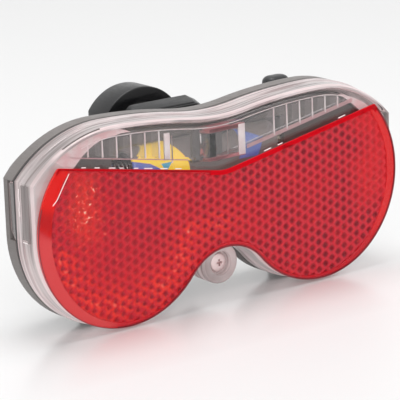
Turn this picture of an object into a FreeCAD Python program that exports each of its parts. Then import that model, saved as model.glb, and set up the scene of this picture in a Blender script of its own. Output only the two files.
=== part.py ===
"""A battery tail light for a bicycle: a clear cover with a wide red reflector, over a dark housing.

The light stands on the round bottoms of its two lobes. X runs across it, the reflector faces -Y and
+Z is up. The origin is on the ground, below the middle of its box.

Inside each body, a depth is measured back from the front face of the reflector, and a height from
the level of the lobes' centres. Each body's placement then stands it on the ground.
"""
import math
import os
import re

import FreeCAD, Part

Vector = FreeCAD.Vector
UP = Vector(0, 0, 1)

# Driving dimensions in millimetres, one per line: name, size, and what it measures.
SIZES = [
    ("lobe_offset", 29.5, "middle of the light to the centre of a lobe"),
    ("lobe_radius", 25.4, "outer radius of a lobe"),
    ("waist_depth", 11.6, "lobe centre level down to the top of the waist under the light"),
    ("crown_height", 24.5, "lobe centre level up to the highest line of the casing"),
    ("crown_offset", 31.0, "middle of the light to the highest point over a lobe"),
    ("crown_radius", 143.0, "shallow arc from the highest point towards the middle"),
    ("valley_radius", 52.0, "hollow arc over the middle"),
    ("shoulder_radius", 31.9, "arc from the highest point down to the side"),
    ("panel_radius", 24.5, "radius of a lobe of the reflector"),
    ("panel_thick", 1.5, "reflector standing in front of the cover"),
    ("panel_seat", 1.8, "ledge of the cover under the edge of the reflector"),
    ("panel_boss", 1.6, "prism layer behind the reflector, inside the cover's opening"),
    ("panel_middle", 8.1, "height of the reflector's top edge at the middle"),
    ("panel_slope", 0.184, "rise of the reflector's top edge towards each side"),
    ("panel_dip", 12.0, "rounding at the middle of the reflector's top edge"),
    ("cover_depth", 7.5, "clear cover, front to back"),
    ("cover_wall", 1.8, "wall of the clear cover"),
    ("cover_step", 0.4, "front of the cover set in from its flange"),
    ("flange_depth", 3.0, "flange at the back of the cover"),
    ("tab_thick", 0.8, "finger tab on each side of the cover"),
    ("tab_top", 13.2, "top of a finger tab"),
    ("tab_bottom", -0.5, "bottom of a finger tab"),
    ("tab_reach", 2.0, "tab reaching back past the cover's flange"),
    ("lug_height", -15.8, "level of the cover screw in the waist"),
    ("lug_radius", 5.2, "screw lug of the cover"),
    ("lug_depth", 6.0, "screw lug of the cover, front to back"),
    ("screw_recess", 2.6, "counterbore for the cover screw"),
    ("seam", 0.2, "gap between cover and housing"),
    ("gap", 0.3, "clearance between pieces that move past each other"),
    ("fit", 0.1, "clearance between pieces that stay together"),
    ("housing_wall", 2.4, "wall of the housing"),
    ("rim_depth", 3.8, "straight rim of the housing behind the seam"),
    ("taper_depth", 8.8, "tapered back of the housing"),
    ("taper_side", 7.5, "sides of the back set in from the rim"),
    ("taper_top", 4.6, "top of the back set in from the rim"),
    ("taper_waist", 1.8, "waist of the back set in from the rim"),
    ("housing_floor", 1.8, "back wall of the housing"),
    ("seal_width", 0.7, "rubber seal across its groove"),
    ("seal_depth", 0.85, "rubber seal, front to back"),
    ("seal_inset", 1.25, "seal set in from the outside of the rim"),
    ("foot_wide", 3.0, "stand rib under the back of each lobe"),
    ("foot_reach", 7.4, "stand rib behind the rim"),
    ("boss_radius", 4.6, "screw boss of the housing"),
    ("boss_depth", 8.0, "screw boss behind the seam"),
    ("tray_depth", 11.0, "front face of the battery tray"),
    ("tray_thick", 1.2, "thickness of the battery tray"),
    ("deck_web", 2.0, "deck of the tray above its opening, at the middle"),
    ("arm_wide", 2.0, "arm that carries the lamp board"),
    ("arm_tall", 1.2, "height of an arm"),
    ("cell_radius", 5.25, "battery cell of size AAA"),
    ("cell_length", 44.5, "battery cell over its contacts"),
    ("cell_play", 1.05, "cells to the edges of the tray's opening"),
    ("nub_radius", 1.9, "positive contact of a cell"),
    ("nub_length", 0.8, "positive contact of a cell"),
    ("cell_depth", 14.6, "depth of both cells' axes"),
    ("cell_pitch", 11.3, "upper cell down to the lower one"),
    ("contact_thick", 0.4, "sheet of the battery contacts"),
    ("contact_wide", 5.0, "strip of the battery contacts"),
    ("dimple_radius", 1.6, "raised dimple under a positive contact"),
    ("dimple_length", 1.4, "raised dimple under a positive contact"),
    ("spring_radius", 2.7, "mean radius of a contact spring"),
    ("spring_wire", 0.25, "half the thickness of the spring wire"),
    ("spring_room", 5.1, "contact spring, end to end"),
    ("spring_turns", 4, "turns of a contact spring"),
    ("board_bottom", -12.0, "bottom of the circuit board"),
    ("board_depth", 13.6, "front face of the circuit board"),
    ("board_thick", 1.4, "thickness of the circuit board"),
    ("board_edge", 5.5, "outer end of the board to the housing's wall"),
    ("board_hole_edge", 4.0, "outer end of the board to its screws"),
    ("board_drop", 4.1, "top of the switch to the top of the board"),
    ("board_hole_height", 7.0, "board screws above and below the lobe centres"),
    ("board_screw_radius", 0.9, "screw of the circuit board"),
    ("board_head_radius", 1.9, "head of a board screw"),
    ("board_head", 1.1, "head of a board screw"),
    ("board_screw_length", 5.0, "board screw below its head"),
    ("post_radius", 2.4, "post under a board screw"),
    ("chip_long", 5.0, "driver chip along the board"),
    ("chip_tall", 4.0, "driver chip across the board"),
    ("chip_thick", 1.5, "driver chip"),
    ("resistor_radius", 1.1, "series resistor"),
    ("resistor_length", 6.0, "series resistor"),
    ("lamp_radius", 1.5, "light-emitting diode"),
    ("lamp_drop", 9.0, "top of the casing at the middle down to the lamp"),
    ("lamp_length", 2.8, "light-emitting diode from its board to its tip"),
    ("lamp_flange", 0.4, "rim of the diode beyond its dome"),
    ("lamp_board_depth", 8.0, "front face of the lamp board"),
    ("lamp_board_thick", 0.8, "lamp board"),
    ("lamp_board_wide", 8.8, "lamp board"),
    ("lamp_board_low", 2.8, "lamp board below the lamp"),
    ("lamp_board_high", 5.6, "lamp board above the lamp"),
    ("wire_radius", 0.45, "lamp wire over its sleeve"),
    ("wire_bend", 1.0, "bend of a lamp wire"),
    ("wire_pitch", 1.2, "one lamp wire to the other"),
    ("wire_notch", 21.0, "middle of the light to the notch for the lamp wires"),
    ("guide_depth", 3.4, "front face of the light guide"),
    ("guide_skin", 0.8, "front skin of the light guide"),
    ("guide_deep", 3.3, "light guide, front to back"),
    ("guide_inset", 2.5, "light guide set in from the outside of the cover"),
    ("guide_lift", 2.0, "light guide above the reflector's top edge"),
    ("guide_lip", 0.8, "long edges of the light guide"),
    ("rib_pitch", 4.2, "ribs of the light guide"),
    ("rib_wide", 0.6, "a rib of the light guide"),
    ("guide_half", 43.6, "middle to an end of the light guide"),
    ("block_half", 4.9, "half the width of the lens block"),
    ("block_low", 3.7, "lens block below the lamp"),
    ("block_high", 5.6, "lens block above the lamp"),
    ("block_deep", 4.3, "lens block, front to back"),
    ("block_skin", 1.2, "front of the lens block"),
    ("block_window", 3.0, "half the width of the window in the lens block"),
    ("cover_screw_radius", 1.25, "cover screw"),
    ("cover_screw_length", 9.0, "cover screw below its head"),
    ("cover_head_radius", 2.6, "head of the cover screw"),
    ("cover_head", 1.9, "head of the cover screw"),
    ("slot_wide", 0.8, "cross slot in the screw heads"),
    ("slot_deep", 0.9, "cross slot in the screw heads"),
    ("button_depth", 16.8, "depth of the push button's middle"),
    ("button_proud", 0.2, "push button over the highest line of the casing"),
    ("button_tall", 7.0, "push button, top to bottom"),
    ("button_long", 7.2, "push button along the light"),
    ("button_wide", 5.2, "push button across the light"),
    ("button_draft", 0.9, "each end of the button slopes in by this much"),
    ("button_flange", 0.9, "flange that keeps the button in the housing"),
    ("button_flange_thick", 0.7, "flange that keeps the button in the housing"),
    ("button_travel", 0.8, "way that the button and the plunger go down"),
    ("button_spare", 0.7, "button to the switch's case when it is pressed"),
    ("plunger_radius", 1.4, "plunger of the switch"),
    ("plunger_length", 2.6, "plunger of the switch"),
    ("switch_wide", 4.0, "switch along the board"),
    ("switch_deep", 3.5, "switch, front to back"),
    ("switch_tall", 7.0, "switch, top to bottom"),
    ("rail_top", 16.9, "top of the rails on the back"),
    ("rail_bottom", -13.5, "bottom of the rails on the back"),
    ("rail_wall", 2.1, "wall of a rail"),
    ("rail_lip", 1.3, "lip of a rail"),
    ("tongue_half", 8.8, "half the width of the bracket's tongue"),
    ("tongue_thick", 2.0, "tongue of the bracket"),
    ("web_half", 6.4, "half the width of the bracket's web"),
    ("bracket_back", 26.5, "depth of the bracket's back face"),
    ("head_half", 11.1, "half the width of the bracket's head"),
    ("head_top", 21.6, "top of the bracket's head"),
    ("head_front", 22.7, "depth of the front of the bracket's head"),
    ("head_round", 1.9, "rounded end of the bracket's head"),
    ("head_slope", 3.0, "sloped end of the bracket's head"),
    ("tongue_bottom", -13.0, "bottom of the bracket's tongue"),
    ("ear_thick", 3.0, "ear of the bracket"),
    ("ear_radius", 5.0, "round end of an ear"),
    ("knuckle_half", 3.1, "half the width of the clamp's knuckle"),
    ("tilt_height", -8.0, "height of the tilt screw's axis"),
    ("tilt_radius", 2.0, "tilt screw, size M4"),
    ("tilt_head_radius", 3.5, "head of the tilt screw"),
    ("tilt_head", 2.4, "head of the tilt screw"),
    ("tilt_nut_radius", 4.0, "tilt nut over its corners"),
    ("tilt_nut", 3.2, "tilt nut"),
    ("clamp_depth", 34.0, "depth of the clamp's near face"),
    ("clamp_width", 8.0, "clamp along the tube that it holds"),
    ("clamp_height", 10.4, "height of the tube's axis"),
    ("clamp_radius", 13.2, "outer radius of the clamp"),
    ("clamp_half", 10.8, "flat sides of the clamp from its middle"),
    ("clamp_bore", 9.4, "bore of the clamp around its rubber liner"),
    ("liner_thick", 0.8, "rubber liner"),
    ("clamp_split", 0.6, "each half of the clamp ends short of the tube's axis"),
    ("lug_half", 17.5, "ends of the clamp's screw lugs from its middle"),
    ("lug_thick", 3.4, "a screw lug of the clamp"),
    ("clamp_screw_offset", 14.0, "middle of the clamp to a clamp screw"),
    ("clamp_screw_radius", 1.5, "clamp screw, size M3"),
    ("clamp_head_radius", 2.6, "head of a clamp screw"),
    ("clamp_head", 1.8, "head of a clamp screw, sunk in its lug"),
    ("clamp_nut_radius", 3.1, "clamp nut over its corners"),
    ("clamp_nut", 2.4, "clamp nut"),
]

doc = FreeCAD.newDocument("TailLight")
sheet = doc.addObject("Spreadsheet::Sheet", "Sizes")
for row, (alias, size, meaning) in enumerate(SIZES, start=1):
    sheet.set("A%d" % row, alias)
    sheet.set("B%d" % row, str(size))
    sheet.set("C%d" % row, meaning)
    sheet.setAlias("B%d" % row, alias)
doc.recompute()


def size(alias):
    """A driving dimension, read back from the sheet."""
    return float(getattr(sheet, alias))


# Places that follow from the driving dimensions. An expression may name them in capitals.
PLACES = {
    "COVER_FRONT": "Sizes.panel_thick",
    "COVER_BACK": "COVER_FRONT + Sizes.cover_depth",
    "LUG_FRONT": "COVER_BACK - Sizes.lug_depth",
    "RIM_FRONT": "COVER_BACK + Sizes.seam",
    "RIM_BACK": "RIM_FRONT + Sizes.rim_depth",
    "HOUSING_BACK": "RIM_BACK + Sizes.taper_depth",
    "FLOOR": "HOUSING_BACK - Sizes.housing_floor",
    "TONGUE_FRONT": "HOUSING_BACK + Sizes.gap",
    "TONGUE_BACK": "TONGUE_FRONT + Sizes.tongue_thick",
    "CLAMP_MIDDLE": "Sizes.clamp_depth + Sizes.clamp_width / 2",
    "MIDDLE": "(CLAMP_MIDDLE + max(Sizes.ear_radius; Sizes.clamp_width / 2)) / 2",
    "VALLEY": "Sizes.crown_height - Sizes.crown_radius - Sizes.valley_radius"
              " + sqrt((Sizes.crown_radius + Sizes.valley_radius) ^ 2 - Sizes.crown_offset ^ 2)",
    "TRAY_TOP": "VALLEY - Sizes.housing_wall - Sizes.gap - Sizes.deck_web",
    "UPPER_CELL": "TRAY_TOP - Sizes.cell_play - Sizes.cell_radius",
    "LOWER_CELL": "UPPER_CELL - Sizes.cell_pitch",
    "TRAY_BOTTOM": "LOWER_CELL - Sizes.cell_radius - Sizes.cell_play",
    "CONTACT_FACE": "(Sizes.cell_length + Sizes.spring_room + Sizes.dimple_length + Sizes.fit) / 2",
    "CELL_TIP": "CONTACT_FACE - Sizes.dimple_length - Sizes.fit",
    "TRAY_HALF": "CONTACT_FACE + Sizes.contact_thick + Sizes.fit / 2",
    "LAMP": "VALLEY - Sizes.lamp_drop",
    "LAMP_SEAT": "Sizes.lamp_board_depth - Sizes.fit / 2",
    "BOARD_BACK": "Sizes.board_depth + Sizes.board_thick + Sizes.fit / 2",
    "BOARD_INNER": "TRAY_HALF + Sizes.tray_thick + Sizes.gap",
    "BOARD_OUTER": "Sizes.lobe_offset + Sizes.lobe_radius - Sizes.housing_wall - Sizes.board_edge",
    "BOARD_HOLES": "BOARD_OUTER - Sizes.board_hole_edge",
    "BUTTON": "BOARD_INNER + Sizes.switch_wide / 2",
    "BUTTON_TOP": "Sizes.crown_height + Sizes.button_proud",
    "BUTTON_FOOT": "BUTTON_TOP - Sizes.button_tall",
    "SWITCH_TOP": "BUTTON_FOOT - Sizes.button_travel - Sizes.button_spare",
    "BOARD_TOP": "SWITCH_TOP - Sizes.board_drop",
}


def spelled(expression):
    """An expression with each named place written out in driving dimensions."""
    return re.sub(r"\b[A-Z][A-Z_]+\b", lambda name: "(%s)" % spelled(PLACES[name.group()]), expression)


def number(expression):
    """What an expression comes to, for the outlines drawn in code."""
    return float(sheet.evalExpression(spelled(expression)))


def bind(feature, setting, expression):
    """Ties a setting of a feature to an expression of the sheet."""
    feature.setExpression(setting, spelled(expression))


parts = []


def finished(feature, name):
    """Gives a sub-part its name and keeps it for writing."""
    feature.Label = name
    parts.append(feature)
    return feature


# Primitives: each length and place is an expression of the sheet.

def place(feature, x, depth, height, rotation=None):
    if rotation is not None:
        feature.Placement = FreeCAD.Placement(Vector(), rotation)
    bind(feature, "Placement.Base.x", x)
    bind(feature, "Placement.Base.y", "%s - MIDDLE" % depth)
    bind(feature, "Placement.Base.z", "%s + Sizes.lobe_radius" % height)


def box(name, x, depth, height, wide, deep, tall):
    feature = doc.addObject("Part::Box", name)
    bind(feature, "Length", wide)
    bind(feature, "Width", deep)
    bind(feature, "Height", tall)
    place(feature, x, depth, height)
    return feature


ALONG_X = FreeCAD.Rotation(Vector(0, 1, 0), 90)
ALONG_Y = FreeCAD.Rotation(Vector(1, 0, 0), -90)
ALONG_Z = FreeCAD.Rotation()
TO_FRONT = FreeCAD.Rotation(Vector(1, 0, 0), 90)


def rod(name, along, radius, length, x, depth, height):
    feature = doc.addObject("Part::Cylinder", name)
    bind(feature, "Radius", radius)
    bind(feature, "Height", length)
    place(feature, x, depth, height, along)
    return feature


def hexagon(name, along, radius, length, x, depth, height):
    feature = doc.addObject("Part::Prism", name)
    feature.Polygon = 6
    bind(feature, "Circumradius", radius)
    bind(feature, "Height", length)
    place(feature, x, depth, height, along)
    return feature


def joined(name, *pieces):
    feature = doc.addObject("Part::MultiFuse", name)
    feature.Shapes = list(pieces)
    return feature


def less(name, base, *tools):
    """What is left of a base once its tools are taken away."""
    feature = doc.addObject("Part::Cut", name)
    feature.Base = base
    feature.Tool = tools[0] if len(tools) == 1 else joined(name + "Tools", *tools)
    return feature


def shared(name, first, second):
    feature = doc.addObject("Part::Common", name)
    feature.Base = first
    feature.Tool = second
    return feature


# Bodies: sketches across the light, padded back from a depth.

def new_body(name):
    body = doc.addObject("PartDesign::Body", name)
    bind(body, "Placement.Base.y", "-MIDDLE")
    bind(body, "Placement.Base.z", "Sizes.lobe_radius")
    return finished(body, name)


def plane(body, role):
    return next(item for item in body.Origin.OriginFeatures if item.Role == role)


def draw(body, name, role, offset, *wires):
    """A sketch on one of the body's planes; each wire is a list of lines and arcs."""
    sketch = body.newObject("Sketcher::SketchObject", name)
    sketch.AttachmentSupport = (plane(body, role), [""])
    sketch.MapMode = "FlatFace"
    bind(sketch, "AttachmentOffset.Base.z", offset)
    for wire in wires:
        for edge in wire:
            sketch.addGeometry(edge, False)
    return sketch


def across(body, name, depth, *wires):
    """A sketch across the light at a depth: the plane's own normal points to the front."""
    return draw(body, name, "XZ_Plane", "-(%s)" % depth, *wires)


def pad(sketch, length, forward=False):
    body = sketch.getParentGeoFeatureGroup()
    feature = body.newObject("PartDesign::Pad", sketch.Name + "Pad")
    feature.Profile = sketch
    feature.Reversed = not forward
    bind(feature, "Length", length)
    return feature


def pocket(sketch, length):
    """Cuts against the sketch's normal: backwards from a sketch across the light."""
    body = sketch.getParentGeoFeatureGroup()
    feature = body.newObject("PartDesign::Pocket", sketch.Name + "Pocket")
    feature.Profile = sketch
    bind(feature, "Length", length)
    return feature


def loft(kind, first, last):
    body = first.getParentGeoFeatureGroup()
    feature = body.newObject("PartDesign::" + kind, first.Name + kind)
    feature.Profile = first
    feature.Sections = [last]
    feature.Ruled = True
    return feature


def flat(x, z):
    return Vector(x, z, 0)


def line(start, end):
    return Part.LineSegment(flat(*start), flat(*end))


def arc(centre, start, end, counter=True):
    """An arc about a centre from one point to another, counter-clockwise or clockwise."""
    if not counter:
        start, end = end, start
    radius = math.dist(centre, start)
    first = math.atan2(start[1] - centre[1], start[0] - centre[0])
    last = math.atan2(end[1] - centre[1], end[0] - centre[0])
    return Part.ArcOfCircle(Part.Circle(flat(*centre), UP, radius), first, last)


def circle(x, z, radius):
    return [Part.Circle(flat(x, z), UP, radius)]


def polygon(*points):
    return [line(start, end) for start, end in zip(points, points[1:] + points[:1])]


def rectangle(left, bottom, right, top):
    return polygon((left, bottom), (right, bottom), (right, top), (left, top))


def towards(start, goal, reach):
    """The point at a distance from a start, in the direction of a goal."""
    whole = math.dist(start, goal)
    return (start[0] + (goal[0] - start[0]) * reach / whole,
            start[1] + (goal[1] - start[1]) * reach / whole)


class Casing:
    """The figure-eight outline of cover and housing, set in by an inset and by the back's taper."""

    def __init__(self, inset=0.0, taper=0.0):
        side = inset + taper * size("taper_side")
        top = inset + taper * size("taper_top")
        waist = inset + taper * size("taper_waist")
        self.lobe = (size("lobe_offset"), 0.0)
        self.lobe_radius = size("lobe_radius") - side
        depth = size("waist_depth") - waist
        offset = self.lobe[0]
        self.waist_radius = ((offset ** 2 + depth ** 2 - self.lobe_radius ** 2)
                             / (2 * (self.lobe_radius - depth)))
        self.waist = (0.0, -depth - self.waist_radius)
        self.crown_height = size("crown_height") - top
        self.crown_radius = size("crown_radius") - inset
        self.crown = (size("crown_offset"), self.crown_height - self.crown_radius)
        self.valley_radius = size("valley_radius") + inset
        rise = math.sqrt((self.crown_radius + self.valley_radius) ** 2 - self.crown[0] ** 2)
        self.valley = (0.0, self.crown[1] + rise)
        self.shoulder_radius = size("shoulder_radius") - side
        self.shoulder = (self.crown[0], self.crown_height - self.shoulder_radius)
        self.side = offset + self.lobe_radius
        self.corner = (self.side, self.shoulder[1]
                       + math.sqrt(self.shoulder_radius ** 2 - (self.side - self.crown[0]) ** 2))
        self.bank = towards(self.valley, self.crown, self.valley_radius)
        self.neck = towards(self.lobe, self.waist, self.lobe_radius)

    def top(self, x):
        """Height of the upper outline at a place across the light."""
        x = abs(x)
        if x < self.bank[0]:
            return self.valley[1] - math.sqrt(self.valley_radius ** 2 - x ** 2)
        if x < self.crown[0]:
            return self.crown[1] + math.sqrt(self.crown_radius ** 2 - (x - self.crown[0]) ** 2)
        return self.shoulder[1] + math.sqrt(self.shoulder_radius ** 2 - (x - self.crown[0]) ** 2)

    def edges(self):
        peak = (self.crown[0], self.crown_height)
        hip = (self.side, 0.0)

        def left(point):
            return (-point[0], point[1])

        return [
            arc(self.waist, self.neck, left(self.neck)),
            arc(left(self.lobe), left(self.neck), left(hip), counter=False),
            line(left(hip), left(self.corner)),
            arc(left(self.shoulder), left(self.corner), left(peak), counter=False),
            arc(left(self.crown), left(peak), left(self.bank), counter=False),
            arc(self.valley, left(self.bank), self.bank),
            arc(self.crown, self.bank, peak, counter=False),
            arc(self.shoulder, peak, self.corner, counter=False),
            line(self.corner, hip),
            arc(self.lobe, hip, self.neck, counter=False),
        ]


class Panel:
    """The reflector's outline: two round lobes under a shallow V, set in by an inset."""

    def __init__(self, inset=0.0):
        casing = Casing(size("lobe_radius") - size("panel_radius") + inset)
        self.casing = casing
        self.slope = size("panel_slope")
        lean = math.atan(self.slope)
        self.middle = size("panel_middle") - inset / math.cos(lean)
        dip = size("panel_dip") + inset
        self.dip = (0.0, self.middle + dip / math.cos(lean))
        self.bank = (dip * math.sin(lean), self.middle + self.slope * dip * math.sin(lean))
        # the sloping edge ends where it meets the lobe
        offset = casing.lobe[0]
        a = 1 + self.slope ** 2
        b = self.slope * self.middle - offset
        c = offset ** 2 + self.middle ** 2 - casing.lobe_radius ** 2
        x = (-b + math.sqrt(b ** 2 - a * c)) / a
        self.corner = (x, self.edge(x))

    def edge(self, x):
        """Height of the reflector's top edge at a place across the light."""
        return self.middle + self.slope * abs(x)

    def edges(self):
        casing = self.casing

        def left(point):
            return (-point[0], point[1])

        return [
            arc(casing.waist, casing.neck, left(casing.neck)),
            arc(left(casing.lobe), left(casing.neck), left(self.corner), counter=False),
            line(left(self.corner), left(self.bank)),
            arc(self.dip, left(self.bank), self.bank),
            line(self.bank, self.corner),
            arc(casing.lobe, self.corner, casing.neck, counter=False),
        ]


def edges_at_depth(feature, depth):
    """Names of a feature's edges that lie wholly at one depth of its body."""
    names = []
    for index, edge in enumerate(feature.Shape.Edges, start=1):
        bounds = edge.BoundBox
        if abs(bounds.YMin - depth) < 0.01 and abs(bounds.YMax - depth) < 0.01:
            names.append("Edge%d" % index)
    return names


def reflector():
    """Red reflector: a panel in front of the cover and its prism layer inside the opening."""
    body = new_body("red_reflector")
    front = pad(across(body, "PanelFront", "0", Panel().edges()), "COVER_FRONT")
    doc.recompute()
    bevel = body.newObject("PartDesign::Chamfer", "PanelBevel")
    bevel.Base = (front, edges_at_depth(front, 0))
    bevel.Size = 0.3
    inner = Panel(size("panel_seat") + 2 * size("fit")).edges()
    pad(across(body, "PanelPrisms", "COVER_FRONT", inner), "Sizes.panel_boss")


def cover():
    """Clear cover: stepped side wall, window above the reflector, finger tabs and screw lug."""
    body = new_body("front_cover")
    step = size("cover_step")
    flange = "(COVER_BACK - Sizes.flange_depth)"
    pad(across(body, "CoverWall", "COVER_FRONT", Casing(step).edges()),
        "Sizes.cover_depth - Sizes.flange_depth")
    pad(across(body, "CoverFlange", flange, Casing().edges()), "Sizes.flange_depth")
    side = Casing().side
    thick = size("tab_thick")
    tabs = [rectangle(x, size("tab_bottom"), x + thick, size("tab_top"))
            for x in (-side, side - thick)]
    pad(across(body, "CoverTabs", "COVER_FRONT", *tabs), "Sizes.cover_depth + Sizes.tab_reach")
    lug_front = "LUG_FRONT"
    lug = circle(0, size("lug_height"), size("lug_radius"))
    pad(across(body, "CoverLug", lug_front, lug), "Sizes.lug_depth")
    inside = "(COVER_FRONT + Sizes.cover_wall)"
    room = Casing(size("cover_wall")).edges()
    pocket(across(body, "CoverRoom", inside, room), "Sizes.cover_depth")
    opening = Panel(size("panel_seat")).edges()
    pocket(across(body, "CoverOpening", "COVER_FRONT", opening), "Sizes.cover_wall")
    hole = circle(0, size("lug_height"), size("cover_screw_radius") + size("gap"))
    pocket(across(body, "CoverHole", lug_front, hole), "Sizes.lug_depth")
    recess = circle(0, size("lug_height"), size("cover_head_radius") + size("gap"))
    pocket(across(body, "CoverRecess", lug_front, recess), "Sizes.screw_recess")


def guide():
    """Clear light guide behind the window: a ribbed strip with the lens block in its middle."""
    body = new_body("light_guide")
    strip = Casing(size("guide_inset"))
    panel = Panel()
    lift = size("guide_lift")
    half = size("guide_half")
    pad(across(body, "GuideStrip", "Sizes.guide_depth", strip.edges()), "Sizes.guide_deep")
    below = strip.lobe_radius * 2
    wide = strip.side * 2
    floor = [(-wide, panel.edge(wide) + lift), (0, panel.middle + lift),
             (wide, panel.edge(wide) + lift)]
    under = polygon(*floor, (wide, -below), (-wide, -below))
    pocket(across(body, "GuideUnder", "Sizes.guide_depth", under), "Sizes.guide_deep")
    ends = [rectangle(side * half, -below, side * wide, below) for side in (-1, 1)]
    pocket(across(body, "GuideEnds", "Sizes.guide_depth", *ends), "Sizes.guide_deep")
    lip = size("guide_lip")
    pitch = size("rib_pitch")
    gap = (pitch - size("rib_wide")) / 2
    bays = []
    count = int((half - size("block_half") - lip) / pitch)
    for side in (-1, 1):
        for index in range(count):
            middle = side * (size("block_half") + pitch * (index + 0.5) + lip / 2)
            ends = [middle - gap, middle + gap]
            low = [panel.edge(x) + lift + lip for x in ends]
            high = [strip.top(x) - lip for x in ends]
            if min(high) - max(low) > lip:
                bays.append(polygon((ends[0], low[0]), (ends[1], low[1]),
                                    (ends[1], high[1]), (ends[0], high[0])))
    behind = "(Sizes.guide_depth + Sizes.guide_skin)"
    pocket(across(body, "GuideBays", behind, *bays), "Sizes.guide_deep")
    lamp = number("LAMP")
    block = size("block_half")
    outside = rectangle(-block, lamp - size("block_low"), block, lamp + size("block_high"))
    pad(across(body, "LensBlock", "Sizes.guide_depth", outside), "Sizes.block_deep")
    window = size("block_window")
    inside = rectangle(-window, lamp - window, window, lamp + window)
    pocket(across(body, "LensWindow", "Sizes.guide_depth + Sizes.block_skin", inside),
           "Sizes.block_deep")


def housing():
    """Dark housing: straight rim, tapered back, rails for the bracket, screw boss and posts."""
    body = new_body("rear_housing")
    wall = size("housing_wall")
    pad(across(body, "Rim", "RIM_FRONT", Casing().edges()), "Sizes.rim_depth")
    loft("AdditiveLoft",
         across(body, "BackStart", "RIM_BACK", Casing().edges()),
         across(body, "BackEnd", "HOUSING_BACK", Casing(taper=1).edges()))
    boss = circle(0, size("lug_height"), size("boss_radius"))
    pad(across(body, "ScrewBoss", "RIM_FRONT", boss), "Sizes.boss_depth")
    ground = -size("lobe_radius")
    lobe = size("lobe_offset")
    half = size("foot_wide") / 2
    feet = [rectangle(x - half, ground, x + half, ground / 2) for x in (-lobe, lobe)]
    pad(across(body, "StandRibs", "RIM_BACK", *feet), "Sizes.foot_reach")
    pocket(across(body, "Room", "RIM_FRONT", Casing(wall).edges()), "Sizes.rim_depth")
    reach = 1 - size("housing_floor") / size("taper_depth")
    loft("SubtractiveLoft",
         across(body, "RoomStart", "RIM_BACK", Casing(wall).edges()),
         across(body, "RoomEnd", "FLOOR", Casing(wall, taper=reach).edges()))
    seal = size("seal_inset")
    slack = size("fit") / 2
    groove = [Casing(seal - slack).edges(), Casing(seal + size("seal_width") + slack).edges()]
    pocket(across(body, "SealGroove", "RIM_FRONT", *groove), "Sizes.seal_depth")
    side = Casing().side
    deep = size("tab_thick") + size("fit")
    gap = size("gap")
    notches = [rectangle(x, size("tab_bottom") - gap, x + deep, size("tab_top") + gap)
               for x in (-side, side - deep)]
    pocket(across(body, "TabNotches", "RIM_FRONT", *notches),
           "Sizes.tab_reach + Sizes.gap")
    hole = circle(0, size("lug_height"), size("cover_screw_radius") + size("fit"))
    pocket(across(body, "ScrewHole", "RIM_FRONT", hole), "Sizes.boss_depth - Sizes.housing_wall")
    half_long = size("button_long") / 2 + gap
    half_wide = size("button_wide") / 2 + gap
    offset = number("BUTTON")
    depth = size("button_depth")
    slot = rectangle(offset - half_long, depth - half_wide, offset + half_long, depth + half_wide)
    pocket(draw(body, "ButtonHole", "XY_Plane", "BUTTON_TOP", slot), "Sizes.button_tall")
    where = [(number("BOARD_HOLES"), side * size("board_hole_height")) for side in (-1, 1)]
    posts = [circle(x, z, size("post_radius")) for x, z in where]
    pad(across(body, "BoardPosts", "BOARD_BACK", *posts),
        "FLOOR + Sizes.housing_floor / 2 - BOARD_BACK")
    bores = [circle(x, z, size("board_screw_radius") + size("fit")) for x, z in where]
    pocket(across(body, "PostBores", "BOARD_BACK", *bores), "FLOOR - BOARD_BACK")
    top = size("rail_top")
    bottom = size("rail_bottom")
    near = size("tongue_half") + gap
    far = near + size("rail_wall")
    rails = [rectangle(left, bottom, right, top) for left, right in ((-far, -near), (near, far))]
    pad(across(body, "Rails", "HOUSING_BACK", *rails),
        "Sizes.tongue_thick + 2 * Sizes.gap + Sizes.rail_lip")
    mouth = size("web_half") + gap
    lips = [rectangle(left, bottom, right, top) for left, right in ((-far, -mouth), (mouth, far))]
    pad(across(body, "RailLips", "TONGUE_BACK + Sizes.gap", *lips), "Sizes.rail_lip")


def seal():
    """Rubber seal in the groove of the rim."""
    body = new_body("housing_seal")
    inset = size("seal_inset")
    ring = [Casing(inset).edges(), Casing(inset + size("seal_width")).edges()]
    pad(across(body, "SealRing", "RIM_FRONT - Sizes.seam + Sizes.fit / 2", *ring),
        "Sizes.seal_depth + Sizes.seam - Sizes.fit")


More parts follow.
